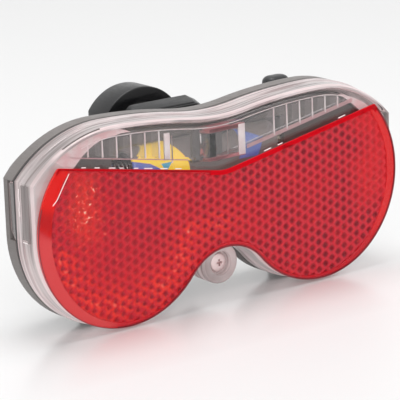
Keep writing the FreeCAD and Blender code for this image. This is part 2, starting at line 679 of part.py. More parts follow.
def tray():
    """Battery tray: a deck around the cells, two end walls for the contacts, two lamp arms."""
    body = new_body("battery_tray")
    deck = Casing(size("housing_wall") + size("gap")).edges()
    pad(across(body, "Deck", "Sizes.tray_depth", deck), "Sizes.tray_thick")
    half = number("TRAY_HALF")
    low = number("TRAY_BOTTOM")
    high = number("TRAY_TOP")
    pocket(across(body, "DeckOpening", "Sizes.tray_depth", rectangle(-half, low, half, high)),
           "Sizes.tray_thick")
    thick = size("tray_thick")
    crest = high - size("cell_play")
    walls = [rectangle(left, low, left + thick, crest) for left in (-half - thick, half)]
    pad(across(body, "EndWalls", "Sizes.tray_depth", *walls),
        "FLOOR - Sizes.fit - Sizes.tray_depth")
    tab_back = size("board_depth") + size("board_thick") + size("contact_thick")
    slots = []
    for middle in tab_heights():
        tall = size("contact_wide") / 4 + size("fit")
        slots.append(rectangle(tab_back - size("contact_thick") - size("fit"), middle - tall,
                               tab_back + 3 * size("fit"), middle + tall))
    pocket(draw(body, "TabSlots", "YZ_Plane", "TRAY_HALF + 2 * Sizes.tray_thick", *slots),
           "3 * Sizes.tray_thick")
    arm = size("lamp_board_wide") / 2
    wide = size("arm_wide")
    floor = high + size("fit")
    arms = [rectangle(left, floor, left + wide, floor + size("arm_tall"))
            for left in (-arm, arm - wide)]
    front = "(Sizes.lamp_board_depth + Sizes.lamp_board_thick + Sizes.fit / 2)"
    pad(across(body, "LampArms", front, *arms), "Sizes.tray_depth + Sizes.tray_thick / 2 - %s" % front)
    middle = size("wire_notch")
    half = size("wire_pitch") / 2 + size("wire_radius") + size("gap")
    floor = wire_level() - size("wire_radius") - size("gap")
    notch = rectangle(middle - half, floor, middle + half, size("crown_height"))
    pocket(across(body, "WireNotch", "Sizes.tray_depth", notch), "Sizes.tray_thick")


def cell_heights():
    return {"upper": number("UPPER_CELL"), "lower": number("LOWER_CELL")}


def tab_heights():
    """Heights of the two solder tabs: the inner ends of the right-hand contacts."""
    heights = cell_heights()
    inward = size("cell_radius") + size("contact_wide") / 4
    return [heights["upper"] - inward, heights["lower"] - size("contact_wide") / 4]


def cells():
    """Two cells side by side across the light, one turned round, each with its positive nub."""
    for name, sign in (("upper", 1), ("lower", -1)):
        height = "UPPER_CELL" if sign > 0 else "LOWER_CELL"
        length = "(Sizes.cell_length - Sizes.nub_length)"
        start = "(CELL_TIP - Sizes.cell_length)" if sign > 0 else "(Sizes.nub_length - CELL_TIP)"
        can = rod("Can_" + name, ALONG_X, "Sizes.cell_radius", length, start, "Sizes.cell_depth", height)
        nub_start = "(CELL_TIP - Sizes.nub_length)" if sign > 0 else "(-CELL_TIP)"
        nub = rod("Nub_" + name, ALONG_X, "Sizes.nub_radius", "Sizes.nub_length", nub_start,
                  "Sizes.cell_depth", height)
        finished(joined("Cell_" + name, can, nub), "battery_" + name)


def contacts():
    """Sheet-metal contacts on the tray's end walls: one link on the left, two tabs on the right."""
    depth = "(Sizes.cell_depth - Sizes.contact_wide / 2)"
    half = "Sizes.contact_wide / 2"

    def strip(name, x, bottom, tall):
        return box(name, x, depth, bottom, "Sizes.contact_thick", "Sizes.contact_wide", tall)

    def dimple(name, x, height):
        return rod(name, ALONG_X, "Sizes.dimple_radius", "Sizes.dimple_length", x, "Sizes.cell_depth", height)

    def solder_tab(name, bottom):
        long = "(BOARD_INNER + %s - CONTACT_FACE)" % half
        return box(name, "CONTACT_FACE", "BOARD_BACK", bottom, long, "Sizes.contact_thick", half)

    link = strip("LinkStrip", "(-CONTACT_FACE - Sizes.contact_thick)", "(LOWER_CELL - %s)" % half,
                 "Sizes.cell_pitch + Sizes.contact_wide")
    bump = dimple("LinkDimple", "-CONTACT_FACE", "LOWER_CELL")
    finished(joined("LinkContact", link, bump), "contact_link")
    low = "(UPPER_CELL - Sizes.cell_radius - %s)" % half
    plus = strip("PlusStrip", "CONTACT_FACE", low, "Sizes.cell_radius + Sizes.contact_wide")
    bump = dimple("PlusDimple", "(CONTACT_FACE - Sizes.dimple_length)", "UPPER_CELL")
    finished(joined("PlusContact", plus, bump, solder_tab("PlusTab", low)), "contact_plus")
    low = "(LOWER_CELL - %s)" % half
    minus = strip("MinusStrip", "CONTACT_FACE", low, "Sizes.contact_wide")
    finished(joined("MinusContact", minus, solder_tab("MinusTab", low)), "contact_minus")


def biarc(start, start_way, end, end_way):
    """Two arcs that run smoothly from one point and direction to another."""
    chord = end - start
    ways = start_way + end_way
    a = 2 * (1 - start_way.dot(end_way))
    b = 2 * chord.dot(ways)
    c = -chord.dot(chord)
    reach = (-b + math.sqrt(b * b - 4 * a * c)) / (2 * a)
    first = start + start_way * reach
    last = end - end_way * reach
    joint = (first + last) * 0.5
    arcs = []
    for begin, way, finish in ((start, start_way, joint), (joint, None, end)):
        if way is None:
            way = (last - first).normalize()
        span = finish - begin
        bend = span - way * span.dot(way)
        radius = span.dot(span) / (2 * bend.Length)
        centre = begin + bend.normalize() * radius
        middle = (begin + finish) * 0.5 - centre
        arcs.append(Part.Arc(begin, centre + middle.normalize() * radius, finish).toShape())
    return arcs


def springs():
    """Contact springs: wound wire between a cell's flat end and its contact."""
    face = number("CONTACT_FACE")
    flat_end = number("CELL_TIP") - size("cell_length")
    radius = size("spring_radius")
    wire = size("spring_wire")
    turns = int(size("spring_turns"))
    play = size("fit")
    low = -face + wire + play
    high = flat_end - wire - play
    pitch = (high - low) / turns
    steps = 4 * turns

    def at(step):
        angle = 2 * math.pi * step / 4
        return Vector(low + pitch * step / 4, radius * math.cos(angle), radius * math.sin(angle))

    def way(step):
        angle = 2 * math.pi * step / 4
        run = 2 * math.pi * radius
        return Vector(pitch, -run * math.sin(angle), run * math.cos(angle)).normalize()

    edges = []
    for step in range(steps):
        edges += biarc(at(step), way(step), at(step + 1), way(step + 1))
    spine = Part.Wire(edges)
    section = Part.Wire(Part.Circle(at(0), way(0), wire).toShape())
    coil = spine.makePipeShell([section], True, False)
    if coil.Volume < 0:
        coil.reverse()
    points = [edge.valueAt(edge.FirstParameter) for edge in edges]
    least = min((p - q).Length for i, p in enumerate(points) for q in points[i + 8:])
    print("spring: least gap between turns %.2f mm" % (least - 2 * wire))
    for name, sign in (("upper", 1), ("lower", -1)):
        feature = doc.addObject("Part::Feature", "Spring_" + name)
        shape = coil.copy()
        turn = FreeCAD.Rotation(UP, 0 if sign > 0 else 180)
        feature.Shape = shape
        centre = Vector(0, size("cell_depth") - number("MIDDLE"), cell_heights()[name] + size("lobe_radius"))
        feature.Placement = FreeCAD.Placement(centre, turn)
        finished(feature, "spring_" + name)


def board():
    """Circuit board on its posts, with its screws, driver chip, resistor, switch and plunger."""
    plate = box("BoardPlate", "BOARD_INNER", "Sizes.board_depth", "Sizes.board_bottom",
                "BOARD_OUTER - BOARD_INNER", "Sizes.board_thick",
                "BOARD_TOP - Sizes.board_bottom")
    holes = []
    screws = []
    for name, sign in (("Low", "-"), ("High", "")):
        height = sign + "Sizes.board_hole_height"
        holes.append(rod("BoardHole" + name, ALONG_Y, "Sizes.board_screw_radius + Sizes.fit",
                         "Sizes.board_thick", "BOARD_HOLES", "Sizes.board_depth", height))
        shank = rod("BoardShank" + name, ALONG_Y, "Sizes.board_screw_radius",
                    "Sizes.board_screw_length + Sizes.board_head / 2", "BOARD_HOLES",
                    "(Sizes.board_depth - Sizes.fit / 2 - Sizes.board_head / 2)", height)
        head = rod("BoardHead" + name, ALONG_Y, "Sizes.board_head_radius", "Sizes.board_head",
                   "BOARD_HOLES", "(Sizes.board_depth - Sizes.fit / 2 - Sizes.board_head)",
                   height)
        slot = box("BoardSlot" + name, "BOARD_HOLES - Sizes.board_head_radius",
                   "(Sizes.board_depth - Sizes.fit / 2 - Sizes.board_head)",
                   "(%s - Sizes.slot_wide / 4)" % height, "2 * Sizes.board_head_radius",
                   "Sizes.slot_deep / 2", "Sizes.slot_wide / 2")
        screws.append(less("BoardScrew" + name, joined("BoardBolt" + name, shank, head), slot))
    finished(less("Board", plate, *holes), "circuit_board")
    finished(joined("BoardScrews", *screws), "board_screws")
    chip = box("Chip", "(BOARD_HOLES - 2 * Sizes.chip_long)", "BOARD_BACK", "-Sizes.chip_tall / 2",
               "Sizes.chip_long", "Sizes.chip_thick", "Sizes.chip_tall")
    finished(chip, "driver_chip")
    resistor = rod("Resistor", ALONG_X, "Sizes.resistor_radius", "Sizes.resistor_length",
                   "(BOARD_OUTER - 2 * Sizes.resistor_length)",
                   "BOARD_BACK + Sizes.resistor_radius",
                   "(Sizes.board_bottom + 2 * Sizes.resistor_radius)")
    finished(resistor, "resistor")
    middle = "Sizes.button_depth"
    left = "(BUTTON - Sizes.switch_wide / 2)"
    case = box("SwitchCase", left, "(%s - Sizes.switch_deep / 2)" % middle,
               "(SWITCH_TOP - Sizes.switch_tall)", "Sizes.switch_wide", "Sizes.switch_deep",
               "Sizes.switch_tall")
    rest = "(BUTTON_FOOT - Sizes.fit / 2 - Sizes.plunger_length)"
    well = rod("SwitchWell", ALONG_Z, "Sizes.plunger_radius + Sizes.fit",
               "Sizes.plunger_length + Sizes.button_travel", "BUTTON", middle,
               "(%s - Sizes.button_travel - Sizes.gap)" % rest)
    finished(less("Switch", case, well), "switch_body")
    plunger = rod("Plunger", ALONG_Z, "Sizes.plunger_radius", "Sizes.plunger_length",
                  "BUTTON", middle, rest)
    finished(plunger, "switch_plunger")


def button():
    """Push button: drafted cap over the casing, with a flange under the casing's top."""
    body = new_body("switch_button")
    middle = number("BUTTON")
    half = size("button_long") / 2
    crest = half - size("button_draft")
    top = number("BUTTON_TOP")
    foot = number("BUTTON_FOOT")
    brim = size("crown_height") - size("taper_top") / 2
    flange = half + size("button_flange")
    thick = size("button_flange_thick")
    outline = polygon(
        (middle - flange, foot), (middle + flange, foot), (middle + flange, foot + thick),
        (middle + half, foot + thick), (middle + half, brim), (middle + crest, top),
        (middle - crest, top), (middle - half, brim), (middle - half, foot + thick),
        (middle - flange, foot + thick))
    pad(across(body, "ButtonSide", "Sizes.button_depth - Sizes.button_wide / 2", outline),
        "Sizes.button_wide")


def lamp():
    """Light-emitting diode on its small board, held by the tray's arms."""
    plate = box("LampPlate", "-Sizes.lamp_board_wide / 2", "Sizes.lamp_board_depth",
                "(LAMP - Sizes.lamp_board_low)", "Sizes.lamp_board_wide",
                "Sizes.lamp_board_thick", "Sizes.lamp_board_low + Sizes.lamp_board_high")
    finished(plate, "lamp_board")
    straight = "(Sizes.lamp_length - Sizes.lamp_radius)"
    rim = rod("LampRim", ALONG_Y, "Sizes.lamp_radius + Sizes.lamp_flange", "Sizes.lamp_flange",
              "0", "(LAMP_SEAT - Sizes.lamp_flange)", "LAMP")
    stem = rod("LampStem", ALONG_Y, "Sizes.lamp_radius", straight, "0",
               "(LAMP_SEAT - %s)" % straight, "LAMP")
    dome = doc.addObject("Part::Sphere", "LampDome")
    bind(dome, "Radius", "Sizes.lamp_radius")
    dome.Angle1 = 0
    place(dome, "0", "(LAMP_SEAT - %s)" % straight, "LAMP",
          TO_FRONT)
    finished(joined("Lamp", rim, stem, dome), "lamp")


def tube(points, radius, bend):
    """A round wire along straight runs joined by equal bends."""
    points = [Vector(*point) for point in points]
    edges = []
    last = points[0]
    for before, corner, after in zip(points, points[1:], points[2:]):
        come = (before - corner).normalize()
        go = (after - corner).normalize()
        half = come.getAngle(go) / 2
        start = corner + come * (bend / math.tan(half))
        end = corner + go * (bend / math.tan(half))
        centre = corner + (come + go).normalize() * (bend / math.sin(half))
        middle = centre + (corner - centre).normalize() * bend
        edges.append(Part.makeLine(last, start))
        edges.append(Part.Arc(start, middle, end).toShape())
        last = end
    edges.append(Part.makeLine(last, points[-1]))
    spine = Part.Wire(edges)
    section = Part.Wire(Part.Circle(points[0], points[1] - points[0], radius).toShape())
    solid = spine.makePipeShell([section], True, False)
    if solid.Volume < 0:
        solid.reverse()
    expected = math.pi * radius ** 2 * spine.Length
    print("lamp wire: %.1f mm long, volume %.1f mm3, section by length %.1f mm3"
          % (spine.Length, solid.Volume, expected))
    return solid


def wire_level():
    """Height of the lower lamp wire where both go back through the tray's notch."""
    inside = Casing().top(size("wire_notch")) - size("housing_wall")
    return inside - 2 * size("wire_radius") - size("wire_pitch")


def lamp_wires():
    """Two sleeved wires from the lamp board over the upper cell to the circuit board."""
    radius = size("wire_radius")
    pitch = size("wire_pitch")
    play = size("fit") / 2
    start = size("lamp_board_depth") + size("lamp_board_thick") + play
    front = size("tray_depth") - radius - 6 * size("fit")
    behind = size("board_depth") - radius - play
    across_board = size("arm_wide") / 2 + size("fit")
    low = number("TRAY_TOP") - size("arm_tall") - pitch - size("fit")
    notch = size("wire_notch")
    down = number("BOARD_INNER") + pitch
    solids = []
    for index in (0, 1):
        level = low + index * pitch
        high = wire_level() + index * pitch
        side = (index - 0.5) * pitch
        fall = down + index * pitch
        route = [
            (across_board, start, level),
            (across_board, front, level),
            (notch + side, front, high),
            (notch + side, behind, high),
            (fall, behind, high),
            (fall, behind, number("BOARD_TOP") - 2 * pitch),
        ]
        solids.append(tube(route, radius, size("wire_bend")))
    feature = doc.addObject("Part::Feature", "LampWires")
    feature.Shape = Part.makeCompound(solids)
    stand = Vector(0, -number("MIDDLE"), size("lobe_radius"))
    feature.Placement = FreeCAD.Placement(stand, FreeCAD.Rotation())
    finished(feature, "lamp_wires")


def cover_screw():
    """Cross-headed screw through the cover's lug into the housing's boss."""
    seat = "(COVER_BACK - Sizes.lug_depth + Sizes.screw_recess - Sizes.fit / 2)"
    shank = rod("CoverShank", ALONG_Y, "Sizes.cover_screw_radius",
                "Sizes.cover_screw_length + Sizes.cover_head / 2", "0",
                "(%s - Sizes.cover_head / 2)" % seat, "Sizes.lug_height")
    head = rod("CoverHead", ALONG_Y, "Sizes.cover_head_radius", "Sizes.cover_head", "0",
               "(%s - Sizes.cover_head)" % seat, "Sizes.lug_height")
    long = "2 * Sizes.slot_wide"
    slots = [
        box("CoverSlotAcross", "-Sizes.slot_wide * 2", "(%s - Sizes.cover_head)" % seat,
            "(Sizes.lug_height - Sizes.slot_wide / 2)", "2 * " + long, "Sizes.slot_deep", "Sizes.slot_wide"),
        box("CoverSlotUpright", "-Sizes.slot_wide / 2", "(%s - Sizes.cover_head)" % seat,
            "(Sizes.lug_height - Sizes.slot_wide * 2)", "Sizes.slot_wide", "Sizes.slot_deep", "2 * " + long),
    ]
    finished(less("CoverScrew", joined("CoverBolt", shank, head), *slots), "cover_screw")


def bracket():
    """Bracket: a tongue in the housing's rails, its head above them, and two ears for the clamp."""
    body = new_body("bracket")
    low = size("tongue_bottom")
    top = size("rail_top") + size("gap")
    tongue = size("tongue_half")
    web = size("web_half")
    head = size("head_half")
    crest = size("head_top")
    round_end = size("head_round")
    slope = size("head_slope")
    joint = crest - round_end / 2
    pad(across(body, "Tongue", "TONGUE_FRONT", rectangle(-tongue, low, tongue, joint)),
        "Sizes.tongue_thick")
    pad(across(body, "Web", "TONGUE_BACK", rectangle(-web, low, web, joint)),
        "Sizes.bracket_back - TONGUE_BACK")
    outline = [
        line((-head + round_end, top), (head, top)),
        line((head, top), (head, crest - slope / 2)),
        line((head, crest - slope / 2), (head - slope, crest)),
        line((head - slope, crest), (-head + round_end, crest)),
        arc((-head + round_end, crest - round_end), (-head + round_end, crest),
            (-head, crest - round_end)),
        line((-head, crest - round_end), (-head + round_end, top)),
    ]
    pad(across(body, "Head", "Sizes.head_front", outline), "Sizes.bracket_back - Sizes.head_front")
    pivot = (number("CLAMP_MIDDLE"), size("tilt_height"))
    reach = size("ear_radius")
    root = size("bracket_back") - size("ear_thick") / 3
    ear = [
        line((root, pivot[1] - reach), (pivot[0], pivot[1] - reach)),
        arc(pivot, (pivot[0], pivot[1] - reach), (pivot[0], pivot[1] + reach)),
        line((pivot[0], pivot[1] + reach), (root, pivot[1] + reach)),
        line((root, pivot[1] + reach), (root, pivot[1] - reach)),
    ]
    inner = "(Sizes.knuckle_half + Sizes.gap)"
    pad(draw(body, "EarRight", "YZ_Plane", inner, ear), "Sizes.ear_thick", forward=True)
    pad(draw(body, "EarLeft", "YZ_Plane", "-(%s + Sizes.ear_thick)" % inner, ear),
        "Sizes.ear_thick", forward=True)
    hole = circle(pivot[0], pivot[1], size("tilt_radius") + size("fit"))
    pocket(draw(body, "PivotHole", "YZ_Plane", "2 * " + inner + " + Sizes.ear_thick", hole),
           "4 * (%s + Sizes.ear_thick)" % inner)


def tilt_fixings():
    """Tilt screw along X through ears and knuckle, with its nut on the right."""
    outside = "(Sizes.knuckle_half + Sizes.gap + Sizes.ear_thick + Sizes.fit / 2)"
    shank = rod("TiltShank", ALONG_X, "Sizes.tilt_radius",
                "2 * %s + Sizes.tilt_head / 2 + Sizes.tilt_nut + Sizes.fit" % outside,
                "(-%s - Sizes.tilt_head / 2)" % outside, "CLAMP_MIDDLE", "Sizes.tilt_height")
    head = rod("TiltHead", ALONG_X, "Sizes.tilt_head_radius", "Sizes.tilt_head",
               "(-%s - Sizes.tilt_head)" % outside, "CLAMP_MIDDLE", "Sizes.tilt_height")
    slot = box("TiltSlot", "(-%s - Sizes.tilt_head)" % outside, "(CLAMP_MIDDLE - Sizes.slot_wide / 2)",
               "(Sizes.tilt_height - Sizes.tilt_head_radius)", "Sizes.slot_deep", "Sizes.slot_wide",
               "2 * Sizes.tilt_head_radius")
    finished(less("TiltScrew", joined("TiltBolt", shank, head), slot), "tilt_screw")
    body = hexagon("TiltHex", ALONG_X, "Sizes.tilt_nut_radius", "Sizes.tilt_nut", outside,
                   "CLAMP_MIDDLE", "Sizes.tilt_height")
    bore = rod("TiltBore", ALONG_X, "Sizes.tilt_radius + Sizes.fit / 5", "Sizes.tilt_nut", outside,
               "CLAMP_MIDDLE", "Sizes.tilt_height")
    finished(less("TiltNut", body, bore), "tilt_nut")


def clamp_half(name, upper):
    """One half of the clamp: an arch with a screw lug on each side."""
    disc = rod(name + "Disc", ALONG_Y, "Sizes.clamp_radius", "Sizes.clamp_width", "0",
               "Sizes.clamp_depth", "Sizes.clamp_height")
    flats = box(name + "Flats", "-Sizes.clamp_half", "Sizes.clamp_depth",
                "(Sizes.clamp_height - Sizes.clamp_radius)", "2 * Sizes.clamp_half", "Sizes.clamp_width",
                "2 * Sizes.clamp_radius")
    foot = "Sizes.clamp_height + Sizes.clamp_split" if upper else \
        "Sizes.clamp_height - Sizes.clamp_split - Sizes.lug_thick"
    lugs = box(name + "Lugs", "-Sizes.lug_half", "Sizes.clamp_depth", "(%s)" % foot,
               "2 * Sizes.lug_half", "Sizes.clamp_width", "Sizes.lug_thick")
    whole = [shared(name + "Arch", disc, flats), lugs]
    if not upper:
        neck = box(name + "Neck", "-Sizes.knuckle_half", "Sizes.clamp_depth", "Sizes.tilt_height",
                   "2 * Sizes.knuckle_half", "Sizes.clamp_width",
                   "Sizes.clamp_height - Sizes.clamp_bore - Sizes.tilt_height")
        knuckle = rod(name + "Knuckle", ALONG_X, "Sizes.ear_radius", "2 * Sizes.knuckle_half",
                      "-Sizes.knuckle_half", "CLAMP_MIDDLE", "Sizes.tilt_height")
        whole += [neck, knuckle]
    bore = rod(name + "Bore", ALONG_Y, "Sizes.clamp_bore", "Sizes.clamp_width", "0",
               "Sizes.clamp_depth", "Sizes.clamp_height")
    tools = [bore]
    edge = "(Sizes.clamp_height - Sizes.clamp_radius)" if upper else \
        "(Sizes.clamp_height - Sizes.clamp_split)"
    tall = "Sizes.clamp_radius + Sizes.clamp_split"
    tools.append(box(name + "Away", "-Sizes.lug_half", "Sizes.clamp_depth", edge, "2 * Sizes.lug_half",
                     "Sizes.clamp_width", tall))
    for side, sign in (("Left", "-"), ("Right", "")):
        where = sign + "Sizes.clamp_screw_offset"
        tools.append(rod(name + "Hole" + side, ALONG_Z, "Sizes.clamp_screw_radius + Sizes.fit",
                         "Sizes.lug_thick", where, "CLAMP_MIDDLE", "(%s)" % foot))
        if upper:
            tools.append(rod(name + "Sink" + side, ALONG_Z, "Sizes.clamp_head_radius + Sizes.fit",
                             "Sizes.clamp_head", where, "CLAMP_MIDDLE",
                             "(%s + Sizes.lug_thick - Sizes.clamp_head)" % foot))
    if not upper:
        tools.append(rod(name + "Pivot", ALONG_X, "Sizes.tilt_radius + Sizes.fit",
                         "2 * Sizes.knuckle_half", "-Sizes.knuckle_half", "CLAMP_MIDDLE",
                         "Sizes.tilt_height"))
    return less(name, joined(name + "Whole", *whole), *tools)


def liner_half(name, upper):
    """Half of the rubber liner inside the clamp's bore."""
    skin = rod(name + "Skin", ALONG_Y, "Sizes.clamp_bore - Sizes.fit / 2", "Sizes.clamp_width", "0",
               "Sizes.clamp_depth", "Sizes.clamp_height")
    hollow = rod(name + "Hollow", ALONG_Y, "Sizes.clamp_bore - Sizes.liner_thick", "Sizes.clamp_width",
                 "0", "Sizes.clamp_depth", "Sizes.clamp_height")
    edge = "(Sizes.clamp_height + Sizes.clamp_split)" if upper else \
        "(Sizes.clamp_height - Sizes.clamp_split - Sizes.clamp_bore)"
    kept = box(name + "Kept", "-Sizes.clamp_bore", "Sizes.clamp_depth", edge, "2 * Sizes.clamp_bore",
               "Sizes.clamp_width", "Sizes.clamp_bore")
    return shared(name, less(name + "Ring", skin, hollow), kept)


def clamp_fixings():
    """Two clamp screws sunk in the upper lugs, and their nuts under the lower lugs."""
    seat = "(Sizes.clamp_height + Sizes.clamp_split + Sizes.lug_thick - Sizes.clamp_head + Sizes.fit / 2)"
    under = "(Sizes.clamp_height - Sizes.clamp_split - Sizes.lug_thick - Sizes.clamp_nut - Sizes.fit / 2)"
    screws = []
    nuts = []
    for side, sign in (("Left", "-"), ("Right", "")):
        where = sign + "Sizes.clamp_screw_offset"
        shank = rod("ClampShank" + side, ALONG_Z, "Sizes.clamp_screw_radius",
                    "%s + Sizes.clamp_head / 2 - %s" % (seat, under), where, "CLAMP_MIDDLE", under)
        head = rod("ClampHead" + side, ALONG_Z, "Sizes.clamp_head_radius", "Sizes.clamp_head", where,
                   "CLAMP_MIDDLE", seat)
        slot = box("ClampSlot" + side, "(%s - Sizes.clamp_head_radius)" % where,
                   "(CLAMP_MIDDLE - Sizes.slot_wide / 2)",
                   "(%s + Sizes.clamp_head - Sizes.slot_deep)" % seat, "2 * Sizes.clamp_head_radius",
                   "Sizes.slot_wide", "Sizes.slot_deep")
        screws.append(less("ClampBolt" + side, joined("ClampPin" + side, shank, head), slot))
        body = hexagon("ClampHex" + side, ALONG_Z, "Sizes.clamp_nut_radius", "Sizes.clamp_nut", where,
                       "CLAMP_MIDDLE", under)
        bore = rod("ClampThread" + side, ALONG_Z, "Sizes.clamp_screw_radius + Sizes.fit / 5",
                   "Sizes.clamp_nut", where, "CLAMP_MIDDLE", under)
        nuts.append(less("ClampNut" + side, body, bore))
    finished(joined("ClampScrews", *screws), "clamp_screws")
    finished(joined("ClampNuts", *nuts), "clamp_nuts")


reflector()
cover()
guide()
cover_screw()
housing()
seal()
tray()
cells()
contacts()
springs()
board()
button()
lamp()
lamp_wires()
bracket()
tilt_fixings()
finished(clamp_half("ClampLower", False), "clamp_body")
finished(clamp_half("ClampUpper", True), "clamp_cap")
finished(liner_half("LinerLower", False), "liner_lower")
finished(liner_half("LinerUpper", True), "liner_upper")
clamp_fixings()
doc.recompute()

for feature in doc.Objects:
    if "Invalid" in feature.State or "Error" in feature.State:
        raise RuntimeError("%s did not recompute: %s" % (feature.Name, feature.State))
for feature in parts:
    shape = feature.Shape
    if shape.isNull() or not shape.isValid() or not shape.Solids:
        raise RuntimeError("%s has no sound solid" % feature.Label)

os.makedirs("parts", exist_ok=True)
for feature in parts:
    feature.Shape.exportStep("parts/%s.step" % feature.Label)
    bounds = feature.Shape.BoundBox
    print("%-16s %d solid(s) %9.1f mm3  X %6.1f %6.1f  Y %6.1f %6.1f  Z %6.1f %6.1f"
          % (feature.Label, len(feature.Shape.Solids), feature.Shape.Volume,
             bounds.XMin, bounds.XMax, bounds.YMin, bounds.YMax, bounds.ZMin, bounds.ZMax))
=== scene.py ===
# %% [markdown]
# # A bicycle tail light for a studio picture
# The light has a wide red reflector, a clear cover, a dark housing behind it, and a tube clamp on
# a bracket at the back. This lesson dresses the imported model: every solid is either kept and given
# a finish, or replaced by a mesh with the soft edges and the fine relief that the real piece has.
# The first cell loads the frame. All later pieces are placed in its coordinates, in metres.

# %% Load the frame
import math
import random

import bmesh
import bpy
from mathutils import Matrix, Vector


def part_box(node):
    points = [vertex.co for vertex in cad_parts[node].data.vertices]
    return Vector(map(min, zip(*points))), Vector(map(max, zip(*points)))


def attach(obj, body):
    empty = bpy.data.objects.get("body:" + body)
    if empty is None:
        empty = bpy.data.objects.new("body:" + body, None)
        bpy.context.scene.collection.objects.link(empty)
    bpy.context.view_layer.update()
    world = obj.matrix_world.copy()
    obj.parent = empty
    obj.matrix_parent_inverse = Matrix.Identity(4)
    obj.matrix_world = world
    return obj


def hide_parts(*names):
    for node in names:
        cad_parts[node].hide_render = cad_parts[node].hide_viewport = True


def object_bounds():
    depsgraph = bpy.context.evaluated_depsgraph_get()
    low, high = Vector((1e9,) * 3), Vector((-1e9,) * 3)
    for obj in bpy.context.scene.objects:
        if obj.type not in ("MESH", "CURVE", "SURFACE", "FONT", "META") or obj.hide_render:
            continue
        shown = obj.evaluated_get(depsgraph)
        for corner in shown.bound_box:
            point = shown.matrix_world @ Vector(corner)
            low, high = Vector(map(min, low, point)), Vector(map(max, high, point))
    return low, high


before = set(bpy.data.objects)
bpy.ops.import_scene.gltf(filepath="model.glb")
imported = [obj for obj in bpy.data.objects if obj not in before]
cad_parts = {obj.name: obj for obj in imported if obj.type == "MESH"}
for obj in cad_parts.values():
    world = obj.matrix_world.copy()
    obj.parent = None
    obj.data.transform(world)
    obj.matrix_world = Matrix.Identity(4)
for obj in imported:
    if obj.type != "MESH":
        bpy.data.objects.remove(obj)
CAD_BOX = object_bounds()

# %% [markdown]
# ## Measures
# Bench drawings of such a light are in millimetres: x to the right, depth back from the face of
# the reflector, and height above the level of the two lobe centres. One function turns such a
# place into frame coordinates, and another reads the box of a solid back in the same measures, so
# that a mesh can be built right where its solid is.

# %% Measures and places
MM = 0.001
LOBE_RADIUS = 25.4
LOBE_OFFSET = 29.5
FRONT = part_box("red_reflector")[0].y
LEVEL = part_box("front_cover")[0].z + LOBE_RADIUS * MM


def at(x, depth, height):
    """Frame coordinates of a place given in millimetres."""
    return Vector((x * MM, FRONT + depth * MM, LEVEL + height * MM))


def reach(node):
    """Low and high corner of a solid as (x, depth, height) in millimetres."""
    corners = []
    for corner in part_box(node):
        corners.append(Vector((corner.x, corner.y - FRONT, corner.z - LEVEL)) / MM)
    return corners


GROUND = (CAD_BOX[0].z - LEVEL) / MM
print("the light stands on height", round(GROUND, 2), "mm")

# %% [markdown]
# ## Camera
# A portrait of a small product is taken from some distance with a long lens, which keeps the
# round lobes round. The camera stands half a metre away, to the left and a little above, with a
# slight roll. Its three axes follow from the two angles and the roll, and the matrix is written
# directly, which is exact and needs no tracking constraint. Its lengths were fitted at a first
# guess of the size, so one factor brings them to the real one.

# %% Camera
AZIMUTH = math.radians(-36.5927)
ELEVATION = math.radians(14.5555)
ROLL = math.radians(-2.0105)
TO_REAL_SIZE = 1.08
AIM = Vector((-7.3412, 0, 2.0254)) * TO_REAL_SIZE
DISTANCE = 550.0 * TO_REAL_SIZE
PICTURE = 400
FOCAL_PIXELS = 2477.8417

back = Vector((math.sin(AZIMUTH) * math.cos(ELEVATION),
               -math.cos(AZIMUTH) * math.cos(ELEVATION),
               math.sin(ELEVATION)))
level_right = Vector((math.cos(AZIMUTH), math.sin(AZIMUTH), 0))
level_up = back.cross(level_right)
right = math.cos(ROLL) * level_right + math.sin(ROLL) * level_up
up = math.cos(ROLL) * level_up - math.sin(ROLL) * level_right
eye = AIM + back * DISTANCE

lens = bpy.data.cameras.new("portrait")
lens.sensor_width = 36
lens.lens = FOCAL_PIXELS * lens.sensor_width / PICTURE
lens.clip_start = 0.01
camera = bpy.data.objects.new("portrait", lens)
place = at(eye.x, eye.y, eye.z)
camera.matrix_world = Matrix((
    (right.x, up.x, back.x, place.x),
    (right.y, up.y, back.y, place.y),
    (right.z, up.z, back.z, place.z),
    (0, 0, 0, 1)))
bpy.context.scene.collection.objects.link(camera)
bpy.context.scene.camera = camera
bpy.context.scene.view_settings.view_transform = "Standard"
print("camera", [round(value, 4) for value in place], "lens", round(lens.lens, 1))

# %% [markdown]
# ## Mesh workshop
# Most pieces of this light are skins over rings of points, plates pushed along one axis, or
# turned parts. Three small makers cover them, and their quads stay even enough for a bevel.
# A bevel modifier then breaks the hard corners, because a moulded edge is never truly sharp.

# %% Skins, plates and turned parts
def mesh_object(name, points, faces):
    mesh = bpy.data.meshes.new(name)
    mesh.from_pydata([tuple(point) for point in points], [], faces)
    mesh.update()
    made = bpy.data.objects.new(name, mesh)
    bpy.context.scene.collection.objects.link(made)
    return made


def outward(piece):
    """Turns every face of a closed mesh to the outside."""
    shape = bmesh.new()
    shape.from_mesh(piece.data)
    bmesh.ops.recalc_face_normals(shape, faces=shape.faces)
    shape.to_mesh(piece.data)
    shape.free()


def skin(name, rings, ends=True):
    """Quads from ring to ring; closed by two end faces, or by going round to the first ring."""
    count = len(rings[0])
    points = [point for ring in rings for point in ring]
    faces = []
    for row in range(len(rings) - (1 if ends else 0)):
        near = row * count
        far = (row + 1) % len(rings) * count
        for step in range(count):
            after = (step + 1) % count
            faces.append((near + step, near + after, far + after, far + step))
    if ends:
        faces.append(tuple(range(count)))
        faces.append(tuple(range(len(points) - count, len(points))))
    made = mesh_object(name, points, faces)
    outward(made)
    return made


